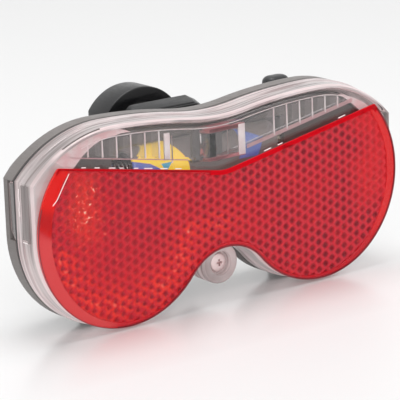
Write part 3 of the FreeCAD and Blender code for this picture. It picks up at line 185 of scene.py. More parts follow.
def plate(name, outline, low, high, along="depth"):
    """An outline of pairs pushed from low to high along x, depth or height."""
    spots = {"x": lambda a, b, c: at(c, a, b),
             "depth": lambda a, b, c: at(a, c, b),
             "height": lambda a, b, c: at(a, b, c)}
    rings = []
    for end in (low, high):
        rings.append([spots[along](a, b, end) for a, b in outline])
    return skin(name, rings)


def turned(name, profile, centre, along="depth", steps=48):
    """A profile of (radius, way) pairs turned about an axis through the centre."""
    rings = []
    for radius, way in profile:
        ring = []
        for step in range(steps):
            angle = 2 * math.pi * step / steps
            a = radius * math.cos(angle)
            b = radius * math.sin(angle)
            offsets = {"x": (way, a, b), "depth": (a, way, b), "height": (a, b, way)}
            ring.append(at(*(Vector(centre) + Vector(offsets[along]))))
        rings.append(ring)
    return skin(name, rings)


def bar(name, left, right, low, high, near, far):
    """A box between two values of x, of height and of depth."""
    return plate(name, [(left, low), (right, low), (right, high), (left, high)], near, far)


print("makers ready: skin, plate, turned part and bar")

# %% [markdown]
# ## Cutting, joining and softening
# A hole or a slot is a boolean cut, applied at once so that the tool can be thrown away. Sharp
# edges are marked by their angle and everything else is shaded smooth.

# %% Cutting, joining and softening
def settle(piece):
    """Applies all modifiers of a piece."""
    graph = bpy.context.evaluated_depsgraph_get()
    shaped = bpy.data.meshes.new_from_object(piece.evaluated_get(graph))
    old = piece.data
    piece.modifiers.clear()
    piece.data = shaped
    bpy.data.meshes.remove(old)


def combine(piece, tool, way):
    change = piece.modifiers.new(way, "BOOLEAN")
    change.operation = way
    change.solver = "EXACT"
    change.object = tool
    settle(piece)
    bpy.data.objects.remove(tool, do_unlink=True)


def cut(piece, *tools):
    for tool in tools:
        combine(piece, tool, "DIFFERENCE")


def fuse(piece, *others):
    for other in others:
        combine(piece, other, "UNION")


def bevel(piece, width, segments, limit):
    """Bevels edges sharper than the limit in degrees, with a width in millimetres."""
    change = piece.modifiers.new("soft edges", "BEVEL")
    change.width = width * MM
    change.segments = segments
    change.limit_method = "ANGLE"
    change.angle_limit = math.radians(limit)


def soften(piece, width, segments=3, limit=35):
    bevel(piece, width, segments, limit)
    settle(piece)


def smooth(piece, limit=32):
    mesh = piece.data
    mesh.polygons.foreach_set("use_smooth", [True] * len(mesh.polygons))
    mesh.set_sharp_from_angle(angle=math.radians(limit))


def gather(name, pieces):
    """One object from several closed shells."""
    shape = bmesh.new()
    for piece in pieces:
        shape.from_mesh(piece.data)
    mesh = bpy.data.meshes.new(name)
    shape.to_mesh(mesh)
    shape.free()
    for piece in pieces:
        bpy.data.objects.remove(piece, do_unlink=True)
    made = bpy.data.objects.new(name, mesh)
    bpy.context.scene.collection.objects.link(made)
    return made


def wire(name, points, radius):
    """A round wire through points in millimetres."""
    curve = bpy.data.curves.new(name, "CURVE")
    curve.dimensions = "3D"
    curve.bevel_depth = radius * MM
    curve.bevel_resolution = 3
    curve.use_fill_caps = True
    line = curve.splines.new("POLY")
    line.points.add(len(points) - 1)
    for spot, point in zip(line.points, points):
        spot.co = (*at(*point), 1)
    path = bpy.data.objects.new(name, curve)
    bpy.context.scene.collection.objects.link(path)
    graph = bpy.context.evaluated_depsgraph_get()
    mesh = bpy.data.meshes.new_from_object(path.evaluated_get(graph))
    bpy.data.objects.remove(path, do_unlink=True)
    made = bpy.data.objects.new(name, mesh)
    bpy.context.scene.collection.objects.link(made)
    return made


print("cutting, joining and softening ready")

# %% [markdown]
# ## Fitting a piece
# Each piece rides on the body that carries it and stands for the solids that it replaces. A
# solid whose shape is right stays, with a finish and a bevel.

# %% Fitting pieces and keeping solids
def fit(piece, body, finish, slot, *nodes):
    """Gives a piece its finish, its body and the solids that it stands for; slot is not used."""
    if len(piece.data.materials) < 2:
        piece.data.materials.clear()
        piece.data.materials.append(finish)
    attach(piece, body)
    if nodes:
        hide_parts(*nodes)
    print(piece.name, len(piece.data.polygons), "faces on", body)


def keep(node, finish, edge=0.0):
    """Keeps a solid of the frame, with a finish and soft edges."""
    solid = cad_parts[node]
    solid.data.materials.clear()
    solid.data.materials.append(finish)
    if edge:
        bevel(solid, edge, 2, 40)
    print(node, "kept as it is, with a finish")


print("fitting ready")

# %% [markdown]
# ## Outlines
# The casing seen from the front is ten smooth edges: a hollow waist below, two round lobes, short
# straight sides, shoulders, shallow crowns and a hollow valley over the middle. Writing it as arcs
# that touch lets one function give the outline at any inset, and the same number of points on
# each edge makes the rings of the cover, the housing and the reflector fit each other.

# %% Arcs and the casing outline
def towards(start, goal, length):
    """The point at that length from start on the way to goal."""
    start = Vector(start)
    way = Vector(goal) - start
    return start + way.normalized() * length


def arc(centre, start, end, steps):
    """Points from start to just before end, the short way round the centre."""
    first = math.atan2(start[1] - centre[1], start[0] - centre[0])
    last = math.atan2(end[1] - centre[1], end[0] - centre[0])
    sweep = (last - first + math.pi) % (2 * math.pi) - math.pi
    radius = math.dist(start, centre)
    points = []
    for step in range(steps):
        angle = first + sweep * step / steps
        points.append((centre[0] + radius * math.cos(angle),
                       centre[1] + radius * math.sin(angle)))
    return points


def straight(start, end, steps):
    points = []
    for step in range(steps):
        share = step / steps
        points.append((start[0] + (end[0] - start[0]) * share,
                       start[1] + (end[1] - start[1]) * share))
    return points


WAIST_STEPS = 28
LOBE_STEPS = 56
SIDE_STEPS = 6
SHOULDER_STEPS = 20
CROWN_STEPS = 24
VALLEY_STEPS = 20
WAIST_DEPTH = 11.6
CROWN_PLACE = 31.0
CROWN_HIGH = 24.5
CROWN_RADIUS = 143.0
VALLEY_RADIUS = 52.0
SHOULDER_RADIUS = 31.9
TAPER_SIDE = 7.5
TAPER_TOP = 4.6
TAPER_WAIST = 1.8


def waist_arc(radius, depth):
    """Centre height and radius of the waist, and where it meets the right lobe."""
    hollow = (LOBE_OFFSET ** 2 + depth ** 2 - radius ** 2) / (2 * (radius - depth))
    low = -depth - hollow
    neck = towards((LOBE_OFFSET, 0), (0, low), radius)
    return low, neck


def lobe_arc(start, end, radius, steps):
    """The long way round under the right lobe, from the neck to a point on its outer side."""
    first = math.atan2(start[1], start[0] - LOBE_OFFSET)
    last = math.atan2(end[1], end[0] - LOBE_OFFSET)
    while last < first:
        last += 2 * math.pi
    points = []
    for step in range(steps):
        angle = first + (last - first) * step / steps
        points.append((LOBE_OFFSET + radius * math.cos(angle), radius * math.sin(angle)))
    return points


def casing(inset=0.0, taper=0.0):
    """Outline of the casing, set in all round, and by the taper towards the back."""
    radius = LOBE_RADIUS - inset - TAPER_SIDE * taper
    low, neck = waist_arc(radius, WAIST_DEPTH - inset - TAPER_WAIST * taper)
    crown_high = CROWN_HIGH - inset - TAPER_TOP * taper
    crown_radius = CROWN_RADIUS - inset
    crown = (CROWN_PLACE, crown_high - crown_radius)
    valley_radius = VALLEY_RADIUS + inset
    rise = math.sqrt((crown_radius + valley_radius) ** 2 - crown[0] ** 2)
    valley = (0, crown[1] + rise)
    shoulder_radius = SHOULDER_RADIUS - inset - TAPER_SIDE * taper
    shoulder = (CROWN_PLACE, crown_high - shoulder_radius)
    side = LOBE_OFFSET + radius
    rise = math.sqrt(shoulder_radius ** 2 - (side - shoulder[0]) ** 2)
    corner = (side, shoulder[1] + rise)
    bank = towards(valley, crown, valley_radius)
    peak = (CROWN_PLACE, crown_high)
    hip = (side, 0)
    lower = lobe_arc(neck, hip, radius, LOBE_STEPS)
    right_half = (lower + straight(hip, corner, SIDE_STEPS)
                  + arc(shoulder, corner, peak, SHOULDER_STEPS)
                  + arc(crown, peak, bank, CROWN_STEPS))
    waist = arc((0, low), (-neck[0], neck[1]), neck, WAIST_STEPS)
    valley_arc = arc(valley, bank, (-bank[0], bank[1]), VALLEY_STEPS)
    left_points = [(-bank[0], bank[1])] + [(-x, z) for x, z in reversed(right_half[1:])]
    return waist + right_half + valley_arc + left_points


print("casing outline", len(casing()), "points")

# %% [markdown]
# ## Outline of the reflector
# The reflector follows the lobes and the waist just inside the casing, but its top edge is a
# shallow V with a rounded middle. Its ring has as many points as the casing's, edge for edge, so
# the clear cover can be skinned straight from one outline to the other.

# %% The panel outline
PANEL_INSET = 0.5
PANEL_MIDDLE = 8.1
PANEL_SLOPE = 0.184
PANEL_DIP = 12.0
LEAN = math.atan(PANEL_SLOPE)


def panel(inset=0.0):
    """Outline of the reflector, set in all round."""
    radius = LOBE_RADIUS - PANEL_INSET - inset
    low, neck = waist_arc(radius, WAIST_DEPTH - PANEL_INSET - inset)
    middle = PANEL_MIDDLE - inset / math.cos(LEAN)
    dip_radius = PANEL_DIP + inset
    dip = (0, middle + dip_radius / math.cos(LEAN))
    bank = (dip_radius * math.sin(LEAN),
            middle + PANEL_SLOPE * dip_radius * math.sin(LEAN))
    square = 1 + PANEL_SLOPE ** 2
    half = PANEL_SLOPE * middle - LOBE_OFFSET
    rest = LOBE_OFFSET ** 2 + middle ** 2 - radius ** 2
    across = (-half + math.sqrt(half ** 2 - square * rest)) / square
    corner = (across, middle + PANEL_SLOPE * across)
    right_half = (lobe_arc(neck, corner, radius, LOBE_STEPS + SIDE_STEPS)
                  + straight(corner, bank, SHOULDER_STEPS + CROWN_STEPS))
    waist = arc((0, low), (-neck[0], neck[1]), neck, WAIST_STEPS)
    dip_arc = arc(dip, bank, (-bank[0], bank[1]), VALLEY_STEPS)
    left_points = [(-bank[0], bank[1])] + [(-x, z) for x, z in reversed(right_half[1:])]
    return waist + right_half + dip_arc + left_points


def ring(outline, depth):
    return [at(x, depth, height) for x, height in outline]


def guide_low(x, lift):
    """Height above the reflector's straight top edge."""
    return PANEL_MIDDLE + PANEL_SLOPE * abs(x) + lift


print("panel outline", len(panel()), "points")

# %% [markdown]
# ## Node workshop
# Finishes are written as node trees. Written out link by link they are long and hard to read, so
# a few makers stand for the nodes that come up again and again: a calculation, a range, a blend
# of two colours, a colour ramp and a noise. Each takes numbers or the outputs of other nodes.

# %% Node makers
FLOAT = "NodeSocketFloat"
COLOUR = "NodeSocketColor"


def node(tree, kind, **settings):
    made = tree.nodes.new(kind)
    for name, value in settings.items():
        setattr(made, name, value)
    return made


def feed(tree, socket, source):
    """Links an output to a socket, or writes a plain value on it."""
    if isinstance(source, bpy.types.NodeSocket):
        tree.links.new(source, socket)
    else:
        socket.default_value = source


def fed(tree, kind, sources, **settings):
    """A node with its sockets fed by label or number."""
    made = node(tree, kind, **settings)
    for label, source in sources.items():
        feed(tree, made.inputs[label], source)
    return made


def calculated(tree, operation, *values):
    made = fed(tree, "ShaderNodeMath", dict(enumerate(values)), operation=operation)
    return made.outputs[0]


def ranged(tree, value, low, high, top=1.0, bottom=0.0):
    """Moves a value from the range low to high into the range bottom to top."""
    sources = {"Value": value, "From Min": low, "From Max": high, "To Min": bottom, "To Max": top}
    return fed(tree, "ShaderNodeMapRange", sources).outputs["Result"]


def blended(tree, share, one, two):
    """Two colours blended by a share."""
    sources = {"Factor": share, "A": one, "B": two}
    return fed(tree, "ShaderNodeMix", sources, data_type="RGBA").outputs["Result"]


def noise(tree, coordinates, detail, rough=0.5):
    sources = {"Vector": coordinates, "Scale": 1.0, "Detail": detail, "Roughness": rough}
    return fed(tree, "ShaderNodeTexNoise", sources).outputs["Fac"]


def object_place(tree):
    return node(tree, "ShaderNodeTexCoord").outputs["Object"]


def object_way(tree, axis):
    """One object coordinate of a point, in metres."""
    return fed(tree, "ShaderNodeSeparateXYZ", {0: object_place(tree)}).outputs[axis]


def new_group(name, inputs, outputs):
    """A node group, and the sockets inside it that bring values in and take them out."""
    group = bpy.data.node_groups.new(name, "ShaderNodeTree")
    for label, kind, value in inputs:
        socket = group.interface.new_socket(name=label, in_out="INPUT", socket_type=kind)
        socket.default_value = value
    for label, kind in outputs:
        group.interface.new_socket(name=label, in_out="OUTPUT", socket_type=kind)
    print("group", name)
    return group, node(group, "NodeGroupInput").outputs, node(group, "NodeGroupOutput").inputs


print("node makers ready")

# %% [markdown]
# ## Mould grain
# Moulded plastic, rubber and metal share three effects, and each is a small node group with named
# sockets, so that a finish can take it at its own scale. The first is the fine grain of the mould.
# An image texture could carry it, but a noise in object coordinates, which are the frame's metres,
# keeps its real size on every piece and needs no unwrapping.

# %% Mould grain
def sized_coordinates(tree, size):
    """Object coordinates divided by a size in millimetres."""
    sources = {0: object_place(tree), "Scale": calculated(tree, "DIVIDE", 1 / MM, size)}
    return fed(tree, "ShaderNodeVectorMath", sources, operation="SCALE").outputs[0]


moulded_grain, entry, leave = new_group("moulded_grain", [("Size", FLOAT, 0.4)],
                                        [("Height", FLOAT)])
grain = noise(moulded_grain, sized_coordinates(moulded_grain, entry["Size"]), 4.0, 0.6)
feed(moulded_grain, leave["Height"], grain)

# %% [markdown]
# ## Soft change of tone
# No moulding has quite the same tone all over. A wide noise blends a second colour over the
# first, over some centimetres.

# %% Soft change of tone
soft_variation, entry, leave = new_group(
    "soft_variation", [("Colour", COLOUR, (1, 1, 1, 1)), ("Other", COLOUR, (0, 0, 0, 1)),
                       ("Size", FLOAT, 12.0), ("Amount", FLOAT, 0.5)],
    [("Colour", COLOUR)])
cloud = noise(soft_variation, sized_coordinates(soft_variation, entry["Size"]), 2.0)
share = ranged(soft_variation, cloud, 0.35, 0.65, entry["Amount"])
feed(soft_variation, leave["Colour"],
     blended(soft_variation, share, entry["Colour"], entry["Other"]))

# %% [markdown]
# ## Handling marks
# Fine marks from handling lie in the gloss, not in the colour. The group stretches a noise into
# streaks and gives back a roughness between two values.

# %% Handling marks
fine_scratches, entry, leave = new_group(
    "fine_scratches", [("Size", FLOAT, 3.0), ("Low", FLOAT, 0.2), ("High", FLOAT, 0.4)],
    [("Roughness", FLOAT)])
stretch = fed(fine_scratches, "ShaderNodeMapping",
              {"Vector": sized_coordinates(fine_scratches, entry["Size"]),
               "Rotation": (0.3, 0.5, 0.4), "Scale": (1.0, 1.0, 9.0)})
marks = noise(fine_scratches, stretch.outputs["Vector"], 5.0)
feed(fine_scratches, leave["Roughness"],
     ranged(fine_scratches, marks, 0.35, 0.65, entry["High"], entry["Low"]))

# %% [markdown]
# ## Finishes
# One maker writes the Principled shader and hangs the shared effects on it. Plain values go on
# the shader's own sockets. Colours are given as they are seen on a screen and turned to linear.

# %% Finish maker
def linear(red, green, blue):
    """A screen colour from 0 to 255 as linear values with alpha."""
    values = []
    for value in (red, green, blue):
        value /= 255
        values.append(value / 12.92 if value < 0.04045 else ((value + 0.055) / 1.055) ** 2.4)
    return (*values, 1)


def finish_of(name, **settings):
    """A new material; settings are values for the Principled sockets, with _ for a space."""
    material = bpy.data.materials.new(name)
    material.use_nodes = True
    shader = material.node_tree.nodes["Principled BSDF"]
    for label, value in settings.items():
        shader.inputs[label.replace("_", " ")].default_value = value
    return material, material.node_tree, shader


def placed(tree, group, **settings):
    """A shared effect in a finish; settings feed its sockets, with _ for a space."""
    sources = {label.replace("_", " "): value for label, value in settings.items()}
    return fed(tree, "ShaderNodeGroup", sources, node_tree=group)


def relief(tree, shader, size, depth, strength):
    """Mould grain of a size and depth in millimetres, as a bump."""
    height = placed(tree, moulded_grain, Size=size).outputs["Height"]
    sources = {"Strength": strength, "Distance": depth * MM, "Height": height}
    feed(tree, shader.inputs["Normal"], fed(tree, "ShaderNodeBump", sources).outputs["Normal"])


def handled(tree, shader, size, low, high):
    """Handling marks in the gloss, between two values of roughness."""
    marks = placed(tree, fine_scratches, Size=size, Low=low, High=high)
    feed(tree, shader.inputs["Roughness"], marks.outputs["Roughness"])


def moulded(name, colour, other, rough, grain_size=0.35, grain_depth=0.02, **more):
    """A moulded or cast finish: tone, gloss marks and grain, each at its own size."""
    material, tree, shader = finish_of(name, **more)
    change = placed(tree, soft_variation, Colour=linear(*colour), Other=linear(*other),
                    Size=14.0, Amount=0.6)
    feed(tree, shader.inputs["Base Color"], change.outputs["Colour"])
    handled(tree, shader, 2.5, *rough)
    relief(tree, shader, grain_size, grain_depth, 0.6)
    return material


print("finish makers ready")

# %% [markdown]
# ## Opaque finishes
# The housing is warm grey moulded plastic, the bracket and the clamp are black, and the rubber is
# matt. Inside are bare and plated steel, the boards and the parts on them. One maker with other
# numbers gives them all, which keeps their grain and their wear of one kind.

# %% Opaque finishes
housing_grey = moulded("housing_grey", (128, 122, 120), (114, 109, 107), (0.45, 0.6), 0.5, 0.05)
tray_grey = moulded("tray_grey", (112, 105, 101), (96, 89, 86), (0.5, 0.65), 0.5, 0.04)
bracket_black = moulded("bracket_black", (22, 22, 24), (16, 16, 18), (0.28, 0.4), 0.4, 0.05)
black_rubber = moulded("black_rubber", (30, 29, 29), (38, 37, 36), (0.6, 0.75), 0.3, 0.04)
button_rubber = moulded("button_rubber", (36, 36, 39), (30, 30, 32), (0.3, 0.42), 0.3, 0.05)
steel = moulded("steel", (196, 194, 192), (176, 173, 170), (0.18, 0.36), 0.2, 0.005, Metallic=1.0)
# The pink tint of this satin steel is a painted reflection of the red around the screw.
pink_reflecting_steel = moulded("pink_reflecting_steel", (236, 218, 217), (222, 200, 200), (0.36, 0.5), 0.2, 0.005,
                      Metallic=0.7)
plated_strip = moulded("plated_strip", (212, 206, 194), (190, 182, 168), (0.2, 0.4), 0.2, 0.005,
                       Metallic=1.0)
spring_steel = moulded("spring_steel", (188, 186, 184), (160, 158, 156), (0.2, 0.34), 0.15, 0.004,
                       Metallic=1.0)
board_green = moulded("board_green", (34, 92, 58), (26, 76, 48), (0.3, 0.42), 0.6, 0.02)
board_dark = moulded("board_dark", (92, 88, 86), (78, 74, 72), (0.3, 0.42), 0.6, 0.02)
chip_black = moulded("chip_black", (34, 34, 36), (44, 44, 46), (0.5, 0.66), 0.15, 0.01)
resistor_body = moulded("resistor_body", (196, 168, 128), (184, 154, 116), (0.4, 0.5), 0.3, 0.01)
plunger_plastic = moulded("plunger_plastic", (206, 200, 190), (196, 190, 180), (0.35, 0.5), 0.3,
                          0.01)
wire_sleeve = moulded("wire_sleeve", (40, 40, 42), (52, 52, 54), (0.4, 0.55), 0.3, 0.01)
print("opaque finishes ready")

# %% [markdown]
# ## Clear plastic
# The cover and the light guide are clear plastic with the gloss of a polished mould. Real clear
# mouldings show a faint haze, and their gloss has fine marks, which keep them from looking like
# empty glass. Light goes through such thin plastic almost unchanged, so Light Path lets shadow
# rays pass. Without that, everything behind the window would lie in the dark.

# %% Clear finishes
SHADOW_LEFT = 0.15
PLASTIC_IOR = 1.49


def let_light_in(tree, shader):
    """Thin clear plastic throws only a faint shadow."""
    rays = node(tree, "ShaderNodeLightPath")
    feed(tree, shader.inputs["Alpha"],
         ranged(tree, rays.outputs["Is Shadow Ray"], 0.0, 1.0, SHADOW_LEFT, 1.0))


def clear(name, tint, rough):
    material, tree, shader = finish_of(name, Base_Color=tint, IOR=PLASTIC_IOR,
                                       Transmission_Weight=1.0)
    handled(tree, shader, 4.0, *rough)
    relief(tree, shader, 2.0, 0.03, 0.25)
    let_light_in(tree, shader)
    return material


clear_cover = clear("clear_cover", (0.97, 0.945, 0.945, 1), (0.01, 0.05))
clear_guide = clear("clear_guide", (0.98, 0.96, 0.96, 1), (0.02, 0.08))
print("clear finishes ready")

# %% [markdown]
# ## Fields of colour
# A print or a lit patch has a plain outline of its own. It could be painted in an image, but a
# shape with straight sides is enough here and stays sharp at any distance. A point is inside when
# it lies on the inner side of every edge. One node group measures how far it is inside an edge,
# and is chained around the outline. A second one tints the colour there.

# %% Edge of a field
WIDE_AWAY = 1000.0
field_edge, entry, leave = new_group(
    "field_edge", [("Start X", FLOAT, 0.0), ("Start Height", FLOAT, 0.0), ("Way X", FLOAT, 1.0),
                   ("Way Height", FLOAT, 0.0), ("Nearest", FLOAT, WIDE_AWAY)],
    [("Nearest", FLOAT)])
across = calculated(field_edge, "MULTIPLY", object_way(field_edge, "X"), 1 / MM)
height = calculated(field_edge, "MULTIPLY_ADD", object_way(field_edge, "Z"), 1 / MM, -LEVEL / MM)
across = calculated(field_edge, "SUBTRACT", across, entry["Start X"])
height = calculated(field_edge, "SUBTRACT", height, entry["Start Height"])
within = calculated(field_edge, "SUBTRACT",
                    calculated(field_edge, "MULTIPLY", across, entry["Way Height"]),
                    calculated(field_edge, "MULTIPLY", height, entry["Way X"]))
feed(field_edge, leave["Nearest"], calculated(field_edge, "MINIMUM", entry["Nearest"], within))

# %% [markdown]
# ## Tint of a field
# The second group turns the distance into a share, with a soft edge where a patch of light needs
# one, and blends the tone over the colour by it.

# %% Tint of a field
field_tint, entry, leave = new_group(
    "field_tint", [("Colour", COLOUR, (1, 1, 1, 1)), ("Tone", COLOUR, (0, 0, 0, 1)),
                   ("Nearest", FLOAT, 0.0), ("Soft", FLOAT, 0.12), ("Amount", FLOAT, 1.0)],
    [("Colour", COLOUR)])
outer = calculated(field_tint, "MULTIPLY", entry["Soft"], -1.0)
share = ranged(field_tint, entry["Nearest"], outer, entry["Soft"], entry["Amount"])
feed(field_tint, leave["Colour"], blended(field_tint, share, entry["Colour"], entry["Tone"]))


def tinted(tree, colour, tone, corners, soft=0.12, amount=1.0):
    """Tints a colour inside a convex field; corners are (x, height) in millimetres, clockwise."""
    nearest = WIDE_AWAY
    for one, two in zip(corners, corners[1:] + corners[:1]):
        way = (Vector(two) - Vector(one)).normalized()
        edge = placed(tree, field_edge, Start_X=one[0], Start_Height=one[1], Way_X=way.x,
                      Way_Height=way.y, Nearest=nearest)
        nearest = edge.outputs["Nearest"]
    field = placed(tree, field_tint, Colour=colour, Tone=linear(*tone), Nearest=nearest,
                   Soft=soft, Amount=amount)
    return field.outputs["Colour"]


print("fields of colour ready")

# %% [markdown]
# ## Walls of the cover
# Seen on its edge, the clear cover looks milky: light is piped along the wall and leaves it in
# long streaks that follow the outline. True glass paths could give that, at a high cost in time
# and noise, so a half clear finish carries it as painted light. Its tone, in painted bands of light
# and shade, changes with the depth in the light, and a noise stretched along the outline breaks it
# into darker streaks. A soft pink patch is a painted reflection of the red reflector, and the
# finish gives off a little painted glow. The upper left of the wall is darker with painted shade,
# and the lower left glows with painted light from the floor.

# %% Milky wall finishes
WALL_FRONT = 1.5
WALL_BACK = 9.0
# Strength of the painted glow that the milky walls and the guide's rims give off.
PAINTED_WALL_GLOW = 0.24
STREAK_SHAPE = (60, 1400, 60)
# Fields of painted shade on the upper left and of painted light from the floor on the lower left.
SHADE_UPPER_LEFT = [(-60.0, 14.0), (-60.0, 28.0), (-36.0, 28.0), (-44.0, 14.0)]
FLOOR_LIGHT_LOWER_LEFT = [(-60.0, -4.0), (-27.0, -4.0), (-20.0, -28.0), (-60.0, -28.0)]


def graded(tree, share, tones):
    """A colour ramp; tones are (place, screen colour), and the first two are its ends."""
    ramp = fed(tree, "ShaderNodeValToRGB", {"Fac": share})
    stops = ramp.color_ramp.elements
    for index, (place, colour) in enumerate(tones):
        stop = stops[index] if index < 2 else stops.new(place)
        stop.position = place
        stop.color = linear(*colour)
    return ramp.outputs["Color"]


def milky(name, tones, clearness, streaks, reflected_red):
    """Half clear plastic with painted light and shade; tones are (share of the depth, screen colour)
    from front to back.
    """
    material, tree, shader = finish_of(name, IOR=PLASTIC_IOR, Roughness=0.16,
                                       Transmission_Weight=clearness, Emission_Strength=PAINTED_WALL_GLOW)
    depth = ranged(tree, object_way(tree, "Y"), at(0, WALL_FRONT, 0).y, at(0, WALL_BACK, 0).y)
    stretch = fed(tree, "ShaderNodeMapping", {"Vector": object_place(tree), "Scale": STREAK_SHAPE})
    lines = noise(tree, stretch.outputs["Vector"], 3.0)
    # Darker streaks, and a soft pink patch that is a painted reflection of the red reflector.
    streaked = blended(tree, ranged(tree, lines, 0.44, 0.62, streaks),
                       graded(tree, depth, tones), linear(92, 84, 83))
    red_reflection = placed(tree, soft_variation, Colour=streaked, Other=linear(216, 120, 130), Size=7.0,
                   Amount=reflected_red)
    # Painted shade on the upper left; the glow is painted light, brightest on the lower left.
    shaded = tinted(tree, red_reflection.outputs["Colour"], (128, 120, 119), SHADE_UPPER_LEFT, 3.0, 0.36)
    feed(tree, shader.inputs["Base Color"], shaded)
    feed(tree, shader.inputs["Emission Color"],
         tinted(tree, shaded, (255, 236, 236), FLOOR_LIGHT_LOWER_LEFT, 4.0, 0.9))
    let_light_in(tree, shader)
    return material


# The wall's tones are painted bands of light and shade along the depth.
cover_wall = milky("cover_wall", ((0.0, (208, 196, 196)), (1.0, (232, 210, 210)),
                                  (0.12, (206, 198, 197)), (0.34, (184, 177, 176)),
                                  (0.5, (206, 198, 197)), (0.62, (212, 202, 202)),
                                  (0.76, (214, 202, 201)), (0.9, (206, 188, 188))),
                   0.3, 0.62, 0.08)
# Painted highlight for the bright lines where the wall turns a corner, and for the tabs' beads.
cover_highlight = milky("cover_highlight", ((0.0, (226, 210, 210)), (1.0, (236, 212, 213))),
                   0.2, 0.2, 0.06)
tab_wall = milky("tab_wall", ((0.0, (146, 138, 137)), (1.0, (128, 121, 120))), 0.45, 0.4, 0.0)
# A painted white glint, glowing a little, for the small highlights on the cover and the border.
painted_glint = moulded("painted_glint", (252, 246, 245), (238, 224, 224), (0.1, 0.2), 0.3, 0.005,
                      Emission_Color=linear(255, 240, 240), Emission_Strength=0.22)
# Painted dark shade in the gap where the cover's flange meets the housing.
cover_gap_shade = moulded("cover_gap_shade", (26, 22, 22), (44, 38, 37), (0.3, 0.45), 0.5, 0.005)
print("milky finishes ready")

# %% [markdown]
# ## Finish of the prisms
# The reflector is clear red plastic with a prism layer on its back. Light comes back bright from
# the walls between the prisms and dark from their tips. Tracing that through real cube corners
# would take many bounces and still look noisy, so that light and shade are painted: the mesh
# carries two point values, the pit shade, painted shade from the wall to the tip, and the glint,
# painted sparkle from dull to sparkling. The finish turns them into colour, the contrast of walls
# and tips grows towards the right, and three soft fields paint more light on the parts that catch
# more light.

# %% Finish of the prisms
# Fields where more light is painted on the prisms.
LIT_SIDE = [(40.0, 3.0), (46.0, 6.0), (57.0, 6.0), (57.0, -8.0), (43.0, -9.0)]
LIT_CORNER = [(36.0, 18.0), (49.0, 19.0), (55.0, 6.0), (48.5, 5.0)]
LIT_LEFT = [(-45.0, 4.0), (-43.0, 14.0), (-38.0, 13.0), (-38.5, -1.0), (-43.0, -1.0)]
reflector_red, tree, shader = finish_of("reflector_red", Roughness=0.4, IOR=PLASTIC_IOR,
                                        Specular_IOR_Level=0.25)
# Painted shade of the prism tips and painted sparkle, carried as point values of the mesh.
pit_shade = node(tree, "ShaderNodeAttribute", attribute_name="pit_shade").outputs["Fac"]
glint = node(tree, "ShaderNodeAttribute", attribute_name="glint").outputs["Fac"]
rightwards = ranged(tree, object_way(tree, "X"), at(-34, 0, 0).x, at(14, 0, 0).x)
colour = blended(tree, pit_shade,
                 blended(tree, rightwards, linear(204, 40, 56), linear(214, 52, 68)),
                 blended(tree, rightwards, linear(156, 34, 48), linear(122, 26, 40)))
for corners, amount, tone in ((LIT_SIDE, 0.6, (232, 46, 52)), (LIT_CORNER, 0.6, (232, 46, 52)),
                              (LIT_LEFT, 0.4, (244, 78, 52))):
    colour = tinted(tree, colour, tone, corners, 3.0, amount)
patches = placed(tree, soft_variation, Colour=colour, Other=linear(234, 40, 46), Size=9.0,
                 Amount=0.25)
# Painted sparkle, from orange to near white.
shine = graded(tree, glint, ((0.4, (252, 62, 44)), (1.0, (255, 226, 200)), (0.82, (252, 66, 50))))
feed(tree, shader.inputs["Base Color"], blended(tree, glint, patches.outputs["Colour"], shine))
print("prism finish ready")

# %% [markdown]
# ## Finish of the border
# The smooth border shows the plastic in its full depth. Light is painted on it: it is lit along
# the lower left, has a painted glow in a strip at the upper left that ends in a deep red, and is
# painted a little brighter at the right. Those are fields with soft sides again, laid one over the
# other.

# %% Finish of the border
# Fields of painted light on the border, with the painted deep red end of the glowing strip.
LIT_STRIP = [(-55.5, 5.0), (-53.0, 14.0), (-49.0, 19.0), (-44.0, 17.5), (-48.0, 6.0), (-50.3, 0.8)]
STRIP_END = [(-56.0, 9.0), (-49.0, 6.0), (-50.3, 0.8), (-56.0, 5.0)]
LIT_BORDER = [(-60.0, 4.0), (-49.0, 0.8), (-34.0, -23.0), (-34.0, -27.0), (-60.0, -27.0)]
LIT_RIGHT_BORDER = [(43.0, 22.0), (60.0, 22.0), (60.0, -16.0), (45.0, -16.0)]
red_body, tree, shader = finish_of("red_body", Roughness=0.25, IOR=PLASTIC_IOR,
                                   Specular_IOR_Level=0.25)
change = placed(tree, soft_variation, Colour=linear(214, 42, 54), Other=linear(200, 32, 44),
                Size=14.0)
colour = change.outputs["Colour"]
for tone, corners, soft in (((226, 78, 80), LIT_BORDER, 1.6), ((234, 50, 52), LIT_RIGHT_BORDER, 3.0),
                            ((238, 20, 8), LIT_STRIP, 0.3), ((196, 2, 6), STRIP_END, 1.2)):
    colour = tinted(tree, colour, tone, corners, soft)
feed(tree, shader.inputs["Base Color"], colour)
# Painted glow of the top edge, deeper on the left, and painted shade of the lower edges.
red_edge_glow = moulded("red_edge_glow", (222, 4, 26), (206, 2, 20), (0.35, 0.5), 0.5, 0.005,
                   Specular_IOR_Level=0.06)
deep_red_edge_glow = moulded("deep_red_edge_glow", (196, 8, 24), (172, 6, 20), (0.35, 0.5), 0.5, 0.005,
                   Specular_IOR_Level=0.06)
red_shade = moulded("red_shade", (142, 24, 38), (120, 18, 32), (0.3, 0.45), 0.5, 0.005)
red_face, tree, shader = finish_of("red_face", Base_Color=linear(220, 30, 42), IOR=PLASTIC_IOR,
                                   Alpha=0.06)
handled(tree, shader, 4.0, 0.04, 0.12)
lamp_red = clear("lamp_red", (0.9, 0.25, 0.22, 1), (0.05, 0.15))
print("border finishes ready")

# %% [markdown]
# ## Reflector body
# The body of the reflector is a flat red moulding with a smooth border. Its middle is sunk by
# less than a millimetre to take the prism layer, and its back has the step that locates it in
# the cover's opening. The rings follow that section from the middle of the back to the front.

# %% Reflector body
BORDER = 1.0
FIELD_SHARE = 0.96
FIELD_SHIFT = 0.6


